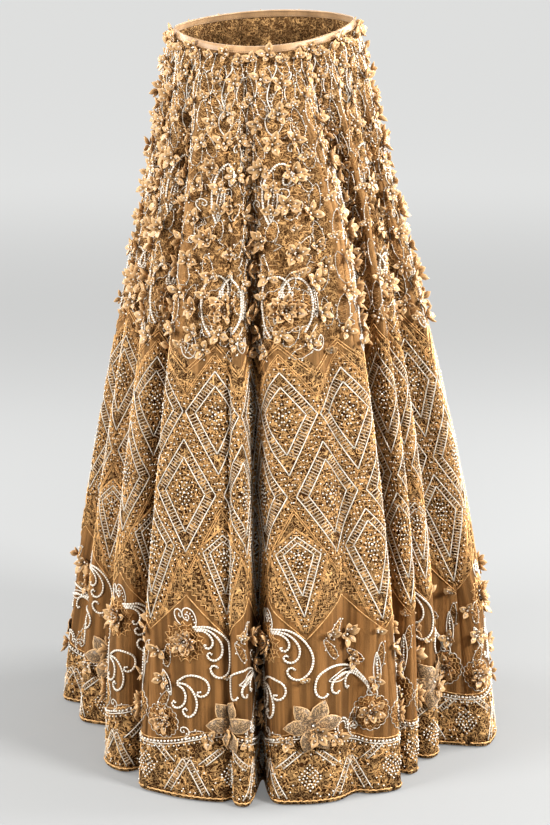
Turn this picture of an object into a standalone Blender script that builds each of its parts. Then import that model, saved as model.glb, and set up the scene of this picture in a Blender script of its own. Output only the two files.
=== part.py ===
"""A worn lehenga skirt: a flare of gores (kalis) under a narrow waistband.

Metres, +Z up. The origin is the centre of the waist opening, level with the waist at the sides.
The front faces -Y and the wearer's left side is at +X.

The cloth is one closed form, read by two numbers: the share of the way round the skirt, from the
deep slit fold at the front, and the share of the way down it. Every gore is a strip of that form
with a wall behind it, and its raised flowers are moved out from the strip's own points.
"""
import math

import bmesh
import bpy
import numpy as np
from mathutils import Vector
from mathutils.geometry import delaunay_2d_cdt

NAME = "lehenga_skirt"

# Driving sizes
KALI_COUNT = 14
SIDE_LENGTH = 1.040
WALL = 0.0016
SEAM_GAP = 0.0003
BAND_HEIGHT = 0.010
BAND_WALL = 0.0024
BAND_PROUD = 0.0006

# The top edge dips at the front, rises at the back and tilts with the hips
FRONT_DIP = 0.027
BACK_RISE = 0.012
HIP_TILT = 0.006

# The body of the skirt with its folds pressed flat: an oval at each height
# drop, half width, front depth, back depth, sideways shift
SECTIONS = (
    (0.000, 0.126, 0.104, 0.104, 0.000),
    (0.045, 0.139, 0.116, 0.122, 0.000),
    (0.100, 0.146, 0.130, 0.140, 0.002),
    (0.200, 0.162, 0.149, 0.159, 0.003),
    (0.320, 0.186, 0.171, 0.177, 0.007),
    (0.450, 0.212, 0.196, 0.199, 0.011),
    (0.600, 0.240, 0.223, 0.227, 0.015),
    (0.780, 0.268, 0.256, 0.257, 0.018),
    (1.040, 0.293, 0.290, 0.290, 0.021),
)

# The folds at the hem, in order round it. Angles are from the front towards +X, in degrees.
# ridge: where the fold stands out, with its radius and half its width
# trough: the fold line after it, with its radius, and its angle a quarter of the way down
# name, ridge angle, ridge radius, half width, trough angle, trough radius, upper trough angle
FOLDS = (
    ("front_right", 7.0, 0.327, 8.0, 20.5, 0.306, 22.0),
    ("right_edge", 28.5, 0.322, 4.0, 36.0, 0.185, 48.0),
    ("right_pleat", 41.5, 0.292, 1.8, 49.0, 0.228, 60.5),
    ("right_second", 55.5, 0.277, 2.6, 62.0, 0.235, 71.5),
    ("right_side", 75.5, 0.330, 6.5, 91.0, 0.245, 92.0),
    ("back_right_1", 101.0, 0.335, 4.5, 112.5, 0.240, 112.0),
    ("back_right_2", 124.0, 0.330, 5.5, 136.5, 0.232, 135.0),
    ("back_right_3", 148.0, 0.326, 5.0, 158.0, 0.245, 157.0),
    ("back_centre", 168.0, 0.334, 4.0, 179.0, 0.236, 179.0),
    ("back_left_3", 191.0, 0.330, 5.5, 203.5, 0.246, 203.0),
    ("back_left_2", 214.5, 0.328, 5.5, 227.0, 0.230, 226.0),
    ("back_left_1", 237.0, 0.330, 4.0, 246.5, 0.252, 245.0),
    ("left_side", 255.0, 0.346, 2.8, 263.0, 0.255, 262.0),
    ("left_second", 270.5, 0.303, 3.0, 285.0, 0.232, 281.0),
    ("left_third", 309.5, 0.311, 4.5, 318.5, 0.240, 313.5),
    ("front_left", 334.8, 0.332, 11.5, 348.2, 0.318, 344.0),
    ("front_pleat", 351.2, 0.341, 1.3, 354.5, 0.243, 352.0),
)
HEM_SHIFT = (0.021, 0.0)
BROAD_RIDGE = 6.0
UPPER_LEVEL = 0.25
WAIST_START = -11.0
FOLD_GROWTH = 0.75

# The mesh: columns across a gore, rows down it
COLUMNS = 14
ROWS = (0.0, 0.035, 0.075, 0.115, 0.155, 0.20, 0.25, 0.31, 0.38, 0.50, 0.64, 0.78, 0.90, 1.0)
DENSE_ROW = 8
STOP_SPACING = 0.004
TURN_WEIGHT = 0.045
BAND_COLUMNS = 70
LOOP_POINTS = 4096

# Flowers sewn on each gore: share of its width from its middle, drop, radius, height, petals
FLOWERS = (
    ("bud", -0.10, 0.052, 0.013, 0.006, 4),
    ("blossom", 0.10, 0.098, 0.018, 0.008, 5),
    ("blossom", -0.12, 0.160, 0.019, 0.008, 5),
    ("blossom", 0.12, 0.220, 0.020, 0.009, 5),
    ("blossom", -0.15, 0.285, 0.021, 0.009, 5),
    ("rosette", 0.06, 0.372, 0.030, 0.010, 6),
    ("small_rosette", -0.27, 0.812, 0.023, 0.008, 6),
    ("lily", 0.02, 0.900, 0.042, 0.009, 6),
    ("small_rosette", 0.33, 0.862, 0.023, 0.008, 6),
)
NOTCH = 0.55
CREST = 0.70
HEART_LIFT = 0.35
OPEN_ENOUGH = 0.45
FLOWER_SIZES = (1.0, 0.85, 0.7, 0.55)


def smoothstep(value):
    value = np.clip(value, 0.0, 1.0)
    return value * value * (3.0 - 2.0 * value)


def on_circle(degrees, radius):
    angle = math.radians(degrees)
    return (radius * math.sin(angle), -radius * math.cos(angle))


def hem_controls():
    """The hem's points in plan, two on a narrow ridge, four on a broad one, one in each trough."""
    points, troughs = [], []
    for _, ridge, radius, half, trough, trough_radius, _ in FOLDS:
        places = (-1.0, -0.35, 0.35, 1.0) if half >= BROAD_RIDGE else (-1.0, 1.0)
        for place in places:
            fall = 0.985 if abs(place) == 1.0 else 1.0
            points.append(on_circle(ridge + place * half, radius * fall))
        troughs.append(len(points))
        points.append(on_circle(trough, trough_radius))
    return np.array(points), troughs


def closed_curve(points, steps=24):
    """A centripetal Catmull-Rom curve through a closed list of points."""
    share = np.linspace(0.0, 1.0, steps, endpoint=False)[:, None]
    stretches = []
    for index in range(len(points)):
        p0, p1, p2, p3 = (points[(index + step) % len(points)] for step in (-1, 0, 1, 2))
        t1 = np.linalg.norm(p1 - p0) ** 0.5
        t2 = t1 + np.linalg.norm(p2 - p1) ** 0.5
        t3 = t2 + np.linalg.norm(p3 - p2) ** 0.5
        t = t1 + (t2 - t1) * share
        a1 = (t1 - t) / t1 * p0 + t / t1 * p1
        a2 = (t2 - t) / (t2 - t1) * p1 + (t - t1) / (t2 - t1) * p2
        a3 = (t3 - t) / (t3 - t2) * p2 + (t - t2) / (t3 - t2) * p3
        b1 = (t2 - t) / t2 * a1 + t / t2 * a2
        b2 = (t3 - t) / (t3 - t1) * a2 + (t - t1) / (t3 - t1) * a3
        stretches.append((t2 - t) / (t2 - t1) * b1 + (t - t1) / (t2 - t1) * b2)
    return np.concatenate(stretches)


def section_values(drop):
    """The oval's sizes at a drop, on smooth curves through the rows of SECTIONS."""
    drops = np.array([row[0] for row in SECTIONS])
    sizes = np.array([row[1:] for row in SECTIONS])
    slopes = np.gradient(sizes, drops, axis=0)
    index = np.clip(np.searchsorted(drops, drop, side="right") - 1, 0, len(drops) - 2)
    step = (drops[index + 1] - drops[index])[..., None]
    u = (np.asarray(drop) - drops[index])[..., None] / step
    return (sizes[index] * (2 * u**3 - 3 * u**2 + 1) + slopes[index] * step * (u**3 - 2 * u**2 + u)
            + sizes[index + 1] * (3 * u**2 - 2 * u**3) + slopes[index + 1] * step * (u**3 - u**2))


def oval(angle, drop):
    half_width, front, back, shift = np.moveaxis(section_values(drop), -1, 0)
    depth = np.where(np.cos(angle) > 0.0, front, back)
    return np.stack([shift + half_width * np.sin(angle), -depth * np.cos(angle)], -1)


class Form:
    """The whole skirt's cloth, as a place for each share round it and share down it."""

    def __init__(self):
        points, troughs = hem_controls()
        steps = 24
        curve = closed_curve(points, steps)
        start = troughs[-1] * steps
        curve = np.roll(curve, -start, axis=0)
        closed = np.vstack([curve, curve[:1]])
        lengths = np.linalg.norm(np.diff(closed, axis=0), axis=1)
        along = np.concatenate([[0.0], np.cumsum(lengths)])
        self.hem_length = along[-1]
        even = np.linspace(0.0, along[-1], LOOP_POINTS + 1)
        self.hem = np.stack([np.interp(even, along, closed[:, axis]) for axis in (0, 1)], 1)
        marks = [0.0] + [along[(trough * steps - start) % len(curve)] / along[-1]
                         for trough in troughs[:-1]] + [1.0]
        lower = np.radians([FOLDS[-1][4] - 360.0] + [row[4] for row in FOLDS])
        upper = np.radians([FOLDS[-1][6] - 360.0] + [row[6] for row in FOLDS])
        even = even / along[-1]
        self.waist_angle = math.radians(WAIST_START) + even * 2.0 * math.pi
        self.upper_angle = self.through(marks, upper, even)
        self.lower_angle = self.through(marks, lower, even)

    def through(self, marks, angles, even):
        """Angles that meet the given ones at the troughs and change smoothly between them."""
        lead = np.array(angles) - (angles[0] + np.array(marks) * 2.0 * math.pi)
        index = np.clip(np.searchsorted(marks, even, side="right") - 1, 0, len(marks) - 2)
        begin, end = np.array(marks)[index], np.array(marks)[index + 1]
        change = smoothstep((even - begin) / (end - begin))
        return angles[0] + even * 2.0 * math.pi + lead[index] + (lead[index + 1] - lead[index]) * change

    @staticmethod
    def look_up(values, share):
        place = np.mod(share, 1.0) * LOOP_POINTS
        index = np.minimum(np.floor(place).astype(int), LOOP_POINTS - 1)
        part = place - index
        if values.ndim == 2:
            part = part[..., None]
        return values[index] * (1.0 - part) + values[index + 1] * part

    def place(self, share, down):
        """The cloth's point at a share round the skirt and a share down it."""
        share, down = np.broadcast_arrays(np.asarray(share, float), np.asarray(down, float))
        drop = down * SIDE_LENGTH
        waist = self.look_up(self.waist_angle, share)
        upper = self.look_up(self.upper_angle, share)
        lower = self.look_up(self.lower_angle, share)
        angle = waist + (upper - waist) * smoothstep(down / UPPER_LEVEL)
        angle = angle + (lower - upper) * np.clip((down - UPPER_LEVEL) / (1.0 - UPPER_LEVEL), 0.0, 1.0)
        hem_oval = oval(lower, np.full(drop.shape, SIDE_LENGTH))
        fold = self.look_up(self.hem, share) + np.array(HEM_SHIFT) - hem_oval
        flat = oval(angle, drop) + fold * (down ** FOLD_GROWTH)[..., None]
        front = np.clip(np.cos(angle), 0.0, 1.0) ** 1.5
        back = np.clip(-np.cos(angle), 0.0, 1.0) ** 1.5
        edge = BACK_RISE * back - FRONT_DIP * front + HIP_TILT * np.sin(angle)
        height = (1.0 - down) * edge - SIDE_LENGTH * down
        return np.concatenate([flat, height[..., None]], -1)

    def outward(self, share, down):
        """The cloth's outward direction, and the direction round it, at the same place."""
        step = 0.0004
        round_way = self.place(share + step, down) - self.place(share - step, down)
        low, high = np.clip(down - 0.004, 0.0, 1.0), np.clip(down + 0.004, 0.0, 1.0)
        down_way = self.place(share, high) - self.place(share, low)
        out = np.cross(down_way, round_way)
        round_way = round_way / np.linalg.norm(round_way, axis=-1, keepdims=True)
        return out / np.linalg.norm(out, axis=-1, keepdims=True), round_way


def material(name, colour, roughness):
    surface = bpy.data.materials.new(name)
    surface.use_nodes = True
    shader = surface.node_tree.nodes["Principled BSDF"]
    shader.inputs["Base Color"].default_value = (*colour, 1.0)
    shader.inputs["Roughness"].default_value = roughness
    shader.inputs["Metallic"].default_value = 0.0
    return surface


def add_solid(name, points, faces, surface, collection):
    """A named solid from a closed set of faces, with its faces turned out."""
    mesh = bpy.data.meshes.new(name)
    mesh.from_pydata([tuple(map(float, point)) for point in points], [], faces)
    shell = bmesh.new()
    shell.from_mesh(mesh)
    bmesh.ops.recalc_face_normals(shell, faces=shell.faces[:])
    shell.to_mesh(mesh)
    shell.free()
    mesh.materials.append(surface)
    mesh.shade_smooth()
    mesh.set_sharp_from_angle(angle=math.radians(50.0))
    solid = bpy.data.objects.new(name, mesh)
    collection.objects.link(solid)
    return solid


def column_shares(form, first, last):
    """Shares across a gore, closer together where the hem turns."""
    fine = np.linspace(first, last, 400)
    hem = form.look_up(form.hem, fine)
    way = np.unwrap(np.arctan2(np.gradient(hem[:, 1]), np.gradient(hem[:, 0])))
    length = np.concatenate([[0.0], np.cumsum(np.linalg.norm(np.diff(hem, axis=0), axis=1))])
    turn = np.concatenate([[0.0], np.cumsum(np.abs(np.diff(way)))])
    measure = length + TURN_WEIGHT * turn
    return np.interp(np.linspace(0.0, measure[-1], COLUMNS + 1), measure, fine)


def keeps(row, column):
    """Whether a column is kept at a row: every other one stops above the dense rows."""
    return row >= DENSE_ROW or column % 2 == 0


class Gore:
    """One kali: a raised outer side over a plain inner one, closed along its four edges."""

    def __init__(self, form, number):
        self.form = form
        self.first = number / KALI_COUNT
        self.last = (number + 1) / KALI_COUNT
        self.middle = (self.first + self.last) / 2.0
        self.shares = column_shares(form, self.first, self.last)
        top = (BAND_HEIGHT + SEAM_GAP) / SIDE_LENGTH
        self.downs = np.array([top + (1.0 - top) * row for row in ROWS])
        share, down = np.meshgrid(self.shares, self.downs)
        self.grid = form.place(share, down)
        self.normals, round_way = form.outward(share, down)
        self.grid[:, 0] += round_way[:, 0] * SEAM_GAP / 2.0
        self.grid[:, -1] -= round_way[:, -1] * SEAM_GAP / 2.0

    def flat_width(self, drop):
        """The gore's cut width at a drop."""
        waist = 2.0 * math.pi * math.hypot(SECTIONS[0][1], SECTIONS[0][2]) / math.sqrt(2.0)
        girth = waist + (self.form.hem_length - waist) * drop / SIDE_LENGTH
        return girth / KALI_COUNT

    def across(self, share, drop):
        """How far from the gore's middle line a share lies on the flat cut."""
        return (share - self.middle) * KALI_COUNT * self.flat_width(drop)

    def on_facets(self, across, drop):
        """A point of the outer side, and its outward direction, on the grid's own facets."""
        share = self.middle + across / self.flat_width(drop) / KALI_COUNT
        down = drop / SIDE_LENGTH
        column = int(np.clip(np.searchsorted(self.shares, share + 1e-9) - 1, 0, COLUMNS - 1))
        row = int(np.clip(np.searchsorted(self.downs, down + 1e-9) - 1, 0, len(self.downs) - 2))
        u = (share - self.shares[column]) / (self.shares[column + 1] - self.shares[column])
        v = (down - self.downs[row]) / (self.downs[row + 1] - self.downs[row])
        blend = []
        for field in (self.grid, self.normals):
            above = field[row, column] * (1 - u) + field[row, column + 1] * u
            below = field[row + 1, column] * (1 - u) + field[row + 1, column + 1] * u
            blend.append(above * (1 - v) + below * v)
        return blend[0], blend[1] / np.linalg.norm(blend[1])

    def lies_open(self, share, drop, radius):
        """Whether a flower of a radius has an open enough place, not pinched in a fold's line."""
        centre = share * self.flat_width(drop)
        outs = [self.on_facets(centre + radius * step / 2.0, level)[1]
                for step in range(-2, 3) for level in (drop - radius, drop, drop + radius)]
        return min(float(np.dot(one, other)) for one in outs for other in outs) > OPEN_ENOUGH

    def fitted_flowers(self):
        """The gore's flowers, each at the largest of its sizes that lies open."""
        flowers = []
        for name, share, drop, radius, height, petals in FLOWERS:
            sizes = [size for size in FLOWER_SIZES if self.lies_open(share, drop, radius * size)]
            if sizes:
                flowers.append((name, share, drop, radius * sizes[0], height, petals))
        return flowers

    def ring_crossings(self, corners, column):
        """Where a column's line crosses a flower's outline, keyed by the outline's edge."""
        share = self.shares[column]
        beside = [x - self.across(share, y) for x, y in corners]
        found = {}
        for edge in range(len(corners)):
            here, there = beside[edge], beside[(edge + 1) % len(corners)]
            if here * there < 0.0:
                part = here / (here - there)
                (x1, y1), (x2, y2) = corners[edge], corners[(edge + 1) % len(corners)]
                found[edge] = (part, x1 + (x2 - x1) * part, y1 + (y2 - y1) * part)
        return found

    def side(self, flowers, depth):
        """Points, triangles and outline of the side at a depth in the wall, raised at its flowers."""
        flat, solid, edges = [], [], []
        crossings = {column: [] for column in range(COLUMNS + 1)}
        dense = self.downs[DENSE_ROW] * SIDE_LENGTH

        def add(across, drop, lift=0.0):
            point, out = self.on_facets(across, drop)
            flat.append(Vector((across, drop)))
            solid.append(point + out * (lift - depth))
            return len(flat) - 1

        for _, share, drop, radius, height, petals in flowers:
            centre = share * self.flat_width(drop)
            turns = [math.pi * step / petals for step in range(2 * petals)]
            reach = [radius * (1.0 if step % 2 == 0 else NOTCH) for step in range(2 * petals)]
            corners = [(centre + r * math.sin(turn), drop + r * math.cos(turn))
                       for r, turn in zip(reach, turns)]
            extra = [[] for _ in corners]
            for column in range(1, COLUMNS):
                for edge, (part, x, y) in self.ring_crossings(corners, column).items():
                    if column % 2 == 0 or y > dense:
                        extra[edge].append((part, x, y, column))
            ring = []
            for corner, inserted in zip(corners, extra):
                ring.append(add(*corner))
                for _, x, y, column in sorted(inserted):
                    ring.append(add(x, y))
                    crossings[column].append((y, ring[-1]))
            edges += list(zip(ring, ring[1:] + ring[:1]))
            heart = add(centre, drop, height * HEART_LIFT)
            for turn in turns[::2]:
                crest = radius * CREST
                top = add(centre + crest * math.sin(turn), drop + crest * math.cos(turn), height)
                edges.append((heart, top))

        lines = []
        for column in range(COLUMNS + 1):
            share = self.shares[column]
            marks = sorted(crossings[column])
            spans = [(marks[step][0], marks[step + 1][0]) for step in range(0, len(marks) - 1, 2)]
            stops = list(marks)
            for row, down in enumerate(self.downs):
                drop = down * SIDE_LENGTH
                hidden = any(low - STOP_SPACING < drop < high + STOP_SPACING for low, high in spans)
                if keeps(row, column) and not hidden:
                    stops.append((drop, add(self.across(share, drop), drop)))
            stops.sort()
            for before, after in zip(stops, stops[1:]):
                middle = (before[0] + after[0]) / 2.0
                if not any(low < middle < high for low, high in spans):
                    edges.append((before[1], after[1]))
            lines.append([stop[1] for stop in stops])
        tops = [line[0] for column, line in enumerate(lines[1:-1], 1) if column % 2 == 0]
        ends = [line[-1] for line in lines[1:-1]]
        outline = [lines[0][0]] + tops + lines[-1] + ends[::-1] + lines[0][:0:-1]
        result = delaunay_2d_cdt(flat, edges, [outline[::-1]], 1, 1e-7)
        sources = [origin[0] for origin in result[3]]
        triangles = [tuple(sources[corner] for corner in face) for face in result[2]]
        return solid, triangles, outline

    def build(self, name, surface, collection):
        points, faces, outline = self.side(self.fitted_flowers(), 0.0)
        inner_points, inner_faces, inner_outline = self.side((), WALL)
        base = len(points)
        points += inner_points
        faces += [tuple(base + corner for corner in face) for face in inner_faces]
        climb = len(outline) - (len(ROWS) - 1)
        for step in range(len(outline)):
            after = (step + 1) % len(outline)
            a, b = outline[step], outline[after]
            c, d = base + inner_outline[after], base + inner_outline[step]
            # Both gores split a seam's twisted wall along the same diagonals, so their gap is even
            faces += [(a, b, d), (b, c, d)] if step >= climb else [(a, b, c), (a, c, d)]
        return add_solid(name, points, faces, surface, collection)


def build_waistband(form, surface, collection):
    """A plain ring of cloth, a little proud of the gores that it is sewn above."""
    shares = np.arange(BAND_COLUMNS) / BAND_COLUMNS
    rings = []
    for down, depth in ((0.0, BAND_PROUD), (BAND_HEIGHT / SIDE_LENGTH, BAND_PROUD),
                        (BAND_HEIGHT / SIDE_LENGTH, BAND_PROUD - BAND_WALL), (0.0, BAND_PROUD - BAND_WALL)):
        out, _ = form.outward(shares, np.full(BAND_COLUMNS, down))
        rings.append(form.place(shares, down) + out * depth)
    points = [point for ring in rings for point in ring]
    faces = []
    for side in range(4):
        here, there = side * BAND_COLUMNS, (side + 1) % 4 * BAND_COLUMNS
        for column in range(BAND_COLUMNS):
            after = (column + 1) % BAND_COLUMNS
            a, b, c, d = here + column, here + after, there + after, there + column
            faces += [(a, b, c), (a, c, d)]
    return add_solid("waistband", points, faces, surface, collection)


def main():
    for old in list(bpy.data.objects):
        bpy.data.objects.remove(old)
    collection = bpy.data.collections.new(NAME)
    bpy.context.scene.collection.children.link(collection)
    net = material("embroidered_net", (0.40, 0.27, 0.16), 0.62)
    satin = material("waistband_satin", (0.58, 0.40, 0.24), 0.45)
    form = Form()
    build_waistband(form, satin, collection)
    for number in range(KALI_COUNT):
        Gore(form, number).build(f"kali_{number + 1:02d}", net, collection)


main()
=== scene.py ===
"""The finished lehenga skirt: sheer embroidered net gores under a satin waistband.

Metres, +Z up, in the same frame as the solids. A place on the cloth is a share of the way round
it, from the slit fold at the front towards +X, and a drop below the waist along its side. Motifs
are laid out flat on one gore, x across from the gore's middle and y the drop, and every gore
gets them, bent onto its folds.
"""
import math

import bmesh
import bpy
import mathutils
import numpy as np
from bpy.props import FloatProperty, FloatVectorProperty, PointerProperty
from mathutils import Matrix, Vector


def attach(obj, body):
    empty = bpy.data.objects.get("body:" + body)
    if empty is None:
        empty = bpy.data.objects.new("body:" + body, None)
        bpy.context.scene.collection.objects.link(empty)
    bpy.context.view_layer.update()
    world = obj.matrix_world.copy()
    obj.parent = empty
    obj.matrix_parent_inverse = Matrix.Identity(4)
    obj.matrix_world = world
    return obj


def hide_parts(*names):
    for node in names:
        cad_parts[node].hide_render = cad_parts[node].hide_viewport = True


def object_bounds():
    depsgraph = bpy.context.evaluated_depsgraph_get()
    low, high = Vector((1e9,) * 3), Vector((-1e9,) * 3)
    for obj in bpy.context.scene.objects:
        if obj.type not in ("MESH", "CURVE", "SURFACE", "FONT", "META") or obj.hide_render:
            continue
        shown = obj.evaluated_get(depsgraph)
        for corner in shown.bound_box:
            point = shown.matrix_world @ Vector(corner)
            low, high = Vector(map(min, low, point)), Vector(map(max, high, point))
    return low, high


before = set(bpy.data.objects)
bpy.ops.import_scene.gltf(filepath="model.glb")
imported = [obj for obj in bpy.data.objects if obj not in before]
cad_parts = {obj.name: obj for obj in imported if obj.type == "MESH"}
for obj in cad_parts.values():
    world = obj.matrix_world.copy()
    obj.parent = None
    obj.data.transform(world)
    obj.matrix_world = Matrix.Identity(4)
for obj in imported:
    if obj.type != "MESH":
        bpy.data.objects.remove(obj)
CAD_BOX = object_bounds()

bl_info = {
    "name": "Embroidered Lehenga Skirt",
    "version": (1, 0, 0),
    "blender": (4, 5, 0),
    "location": "View3D > Sidebar > Lehenga",
    "description": "Dresses the plain skirt with net, bead cords, vermicelli and organza flowers",
    "category": "Object",
}

# ---------------------------------------------------------------- the cloth's own sizes

KALI_COUNT = 14
SIDE_LENGTH = 1.040
WAIST_GIRTH = 0.7300
BAND_HEIGHT = 0.010
FRONT_DIP = 0.027
BACK_RISE = 0.012
HIP_TILT = 0.006
EDGE_FOCUS = 1.5
HEM_SHIFT = (0.021, 0.0)
UPPER_LEVEL = 0.25
WAIST_START = -11.0
FOLD_GROWTH = 0.75
LOOP_POINTS = 4096
NET_THICKNESS = 0.0009
BAND_THICKNESS = 0.0022

# A ridge at least this wide (in degrees to each side) gets a flat crown of four points
BROAD_RIDGE = 6.0
BROAD_CROWN = (-1.0, -0.35, 0.35, 1.0)
NARROW_CROWN = (-1.0, 1.0)
CROWN_FALL = 0.985
CURVE_STEPS = 24

# The body with its folds pressed flat: drop, half width, front depth, back depth, sideways shift
SECTIONS = (
    (0.000, 0.126, 0.104, 0.104, 0.000),
    (0.045, 0.139, 0.116, 0.122, 0.000),
    (0.100, 0.146, 0.130, 0.140, 0.002),
    (0.200, 0.162, 0.149, 0.159, 0.003),
    (0.320, 0.186, 0.171, 0.177, 0.007),
    (0.450, 0.212, 0.196, 0.199, 0.011),
    (0.600, 0.240, 0.223, 0.227, 0.015),
    (0.780, 0.268, 0.256, 0.257, 0.018),
    (1.040, 0.293, 0.290, 0.290, 0.021),
)

# The hem's folds: ridge angle, ridge radius, half width, trough angle, trough radius, upper
# trough angle. Angles are in degrees from the front towards +X.
FOLDS = (
    (7.0, 0.327, 8.0, 20.5, 0.306, 22.0),
    (28.5, 0.322, 4.0, 36.0, 0.185, 48.0),
    (41.5, 0.292, 1.8, 49.0, 0.228, 60.5),
    (55.5, 0.277, 2.6, 62.0, 0.235, 71.5),
    (75.5, 0.330, 6.5, 91.0, 0.245, 92.0),
    (101.0, 0.335, 4.5, 112.5, 0.240, 112.0),
    (124.0, 0.330, 5.5, 136.5, 0.232, 135.0),
    (148.0, 0.326, 5.0, 158.0, 0.245, 157.0),
    (168.0, 0.334, 4.0, 179.0, 0.236, 179.0),
    (191.0, 0.330, 5.5, 203.5, 0.246, 203.0),
    (214.5, 0.328, 5.5, 227.0, 0.230, 226.0),
    (237.0, 0.330, 4.0, 246.5, 0.252, 245.0),
    (255.0, 0.346, 2.8, 263.0, 0.255, 262.0),
    (270.5, 0.303, 3.0, 285.0, 0.232, 281.0),
    (309.5, 0.311, 4.5, 318.5, 0.240, 313.5),
    (334.8, 0.332, 11.5, 348.2, 0.318, 344.0),
    (351.2, 0.341, 1.3, 354.5, 0.243, 352.0),
)

# Soft pleats in the net: place across a gore (0 its middle, 0.5 its seam), first drop, last
# drop, height, width
CREASES = (
    (0.500, 0.07, 0.43, 0.0024, 0.0035),
    (0.440, 0.10, 0.36, 0.0016, 0.0030),
    (-0.455, 0.05, 0.31, 0.0018, 0.0030),
    (0.385, 0.16, 0.40, -0.0012, 0.0045),
    (-0.395, 0.13, 0.38, -0.0014, 0.0045),
    (-0.310, 0.76, 0.98, 0.0016, 0.0110),
    (-0.120, 0.79, 0.96, -0.0014, 0.0130),
    (0.060, 0.78, 0.97, 0.0012, 0.0100),
    (0.210, 0.75, 0.95, -0.0016, 0.0120),
    (0.375, 0.77, 0.98, 0.0013, 0.0090),
)

# How far the pattern's middle line lies to the side of the gore's own at each drop, in metres
SWAY_DROPS = (0.0, 0.12, 0.20, 0.30, 0.42, 0.52, 0.60, 0.72, 0.84, 1.04)
SWAY = (0.0, -0.002, -0.007, -0.011, -0.018, -0.017, -0.013, -0.006, 0.0, 0.0)


def smoothstep(value):
    """0 up to 0 and 1 from 1 on, with a soft start and end between them."""
    value = np.clip(value, 0.0, 1.0)
    return value * value * (3.0 - 2.0 * value)


def unit(vectors):
    """The same directions, each one unit long."""
    return vectors / np.linalg.norm(vectors, axis=-1, keepdims=True)


def run_along(line):
    """How far along a line each of its points lies."""
    return np.concatenate([[0.0], np.cumsum(np.linalg.norm(np.diff(line, axis=0), axis=1))])


def catmull(points, steps, closed=False):
    """A centripetal Catmull-Rom curve through a list of points."""
    points = np.asarray(points, float)
    count = len(points)
    if not closed:
        ends = (2 * points[0] - points[1], 2 * points[-1] - points[-2])
        points = np.vstack([ends[0], points, ends[1]])
    share = np.linspace(0.0, 1.0, steps, endpoint=False)[:, None]
    stretches = []
    for index in range(count if closed else count - 1):
        first = index - 1 if closed else index
        p0, p1, p2, p3 = (points[(first + step) % len(points)] for step in range(4))
        t1 = np.linalg.norm(p1 - p0) ** 0.5
        t2 = t1 + np.linalg.norm(p2 - p1) ** 0.5
        t3 = t2 + np.linalg.norm(p3 - p2) ** 0.5
        t = t1 + (t2 - t1) * share
        a1 = (t1 - t) / t1 * p0 + t / t1 * p1
        a2 = (t2 - t) / (t2 - t1) * p1 + (t - t1) / (t2 - t1) * p2
        a3 = (t3 - t) / (t3 - t2) * p2 + (t - t2) / (t3 - t2) * p3
        b1 = (t2 - t) / t2 * a1 + t / t2 * a2
        b2 = (t3 - t) / (t3 - t1) * a2 + (t - t1) / (t3 - t1) * a3
        stretches.append((t2 - t) / (t2 - t1) * b1 + (t - t1) / (t2 - t1) * b2)
    if not closed:
        stretches.append(points[-2:-1])
    return np.concatenate(stretches)


def on_circle(degrees, radius):
    """A point on a circle seen from above, its angle from the front towards +X."""
    angle = math.radians(degrees)
    return (radius * math.sin(angle), -radius * math.cos(angle))


def oval(angle, drop):
    """The skirt's body with its folds pressed flat, on smooth curves through SECTIONS."""
    drops = np.array([row[0] for row in SECTIONS])
    sizes = np.array([row[1:] for row in SECTIONS])
    slopes = np.gradient(sizes, drops, axis=0)
    index = np.clip(np.searchsorted(drops, drop, side="right") - 1, 0, len(drops) - 2)
    step = (drops[index + 1] - drops[index])[..., None]
    u = (np.asarray(drop) - drops[index])[..., None] / step
    values = (sizes[index] * (2 * u**3 - 3 * u**2 + 1) + slopes[index] * step * (u**3 - 2 * u**2 + u)
              + sizes[index + 1] * (3 * u**2 - 2 * u**3) + slopes[index + 1] * step * (u**3 - u**2))
    half_width, front, back, shift = np.moveaxis(values, -1, 0)
    depth = np.where(np.cos(angle) > 0.0, front, back)
    return np.stack([shift + half_width * np.sin(angle), -depth * np.cos(angle)], -1)


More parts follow.
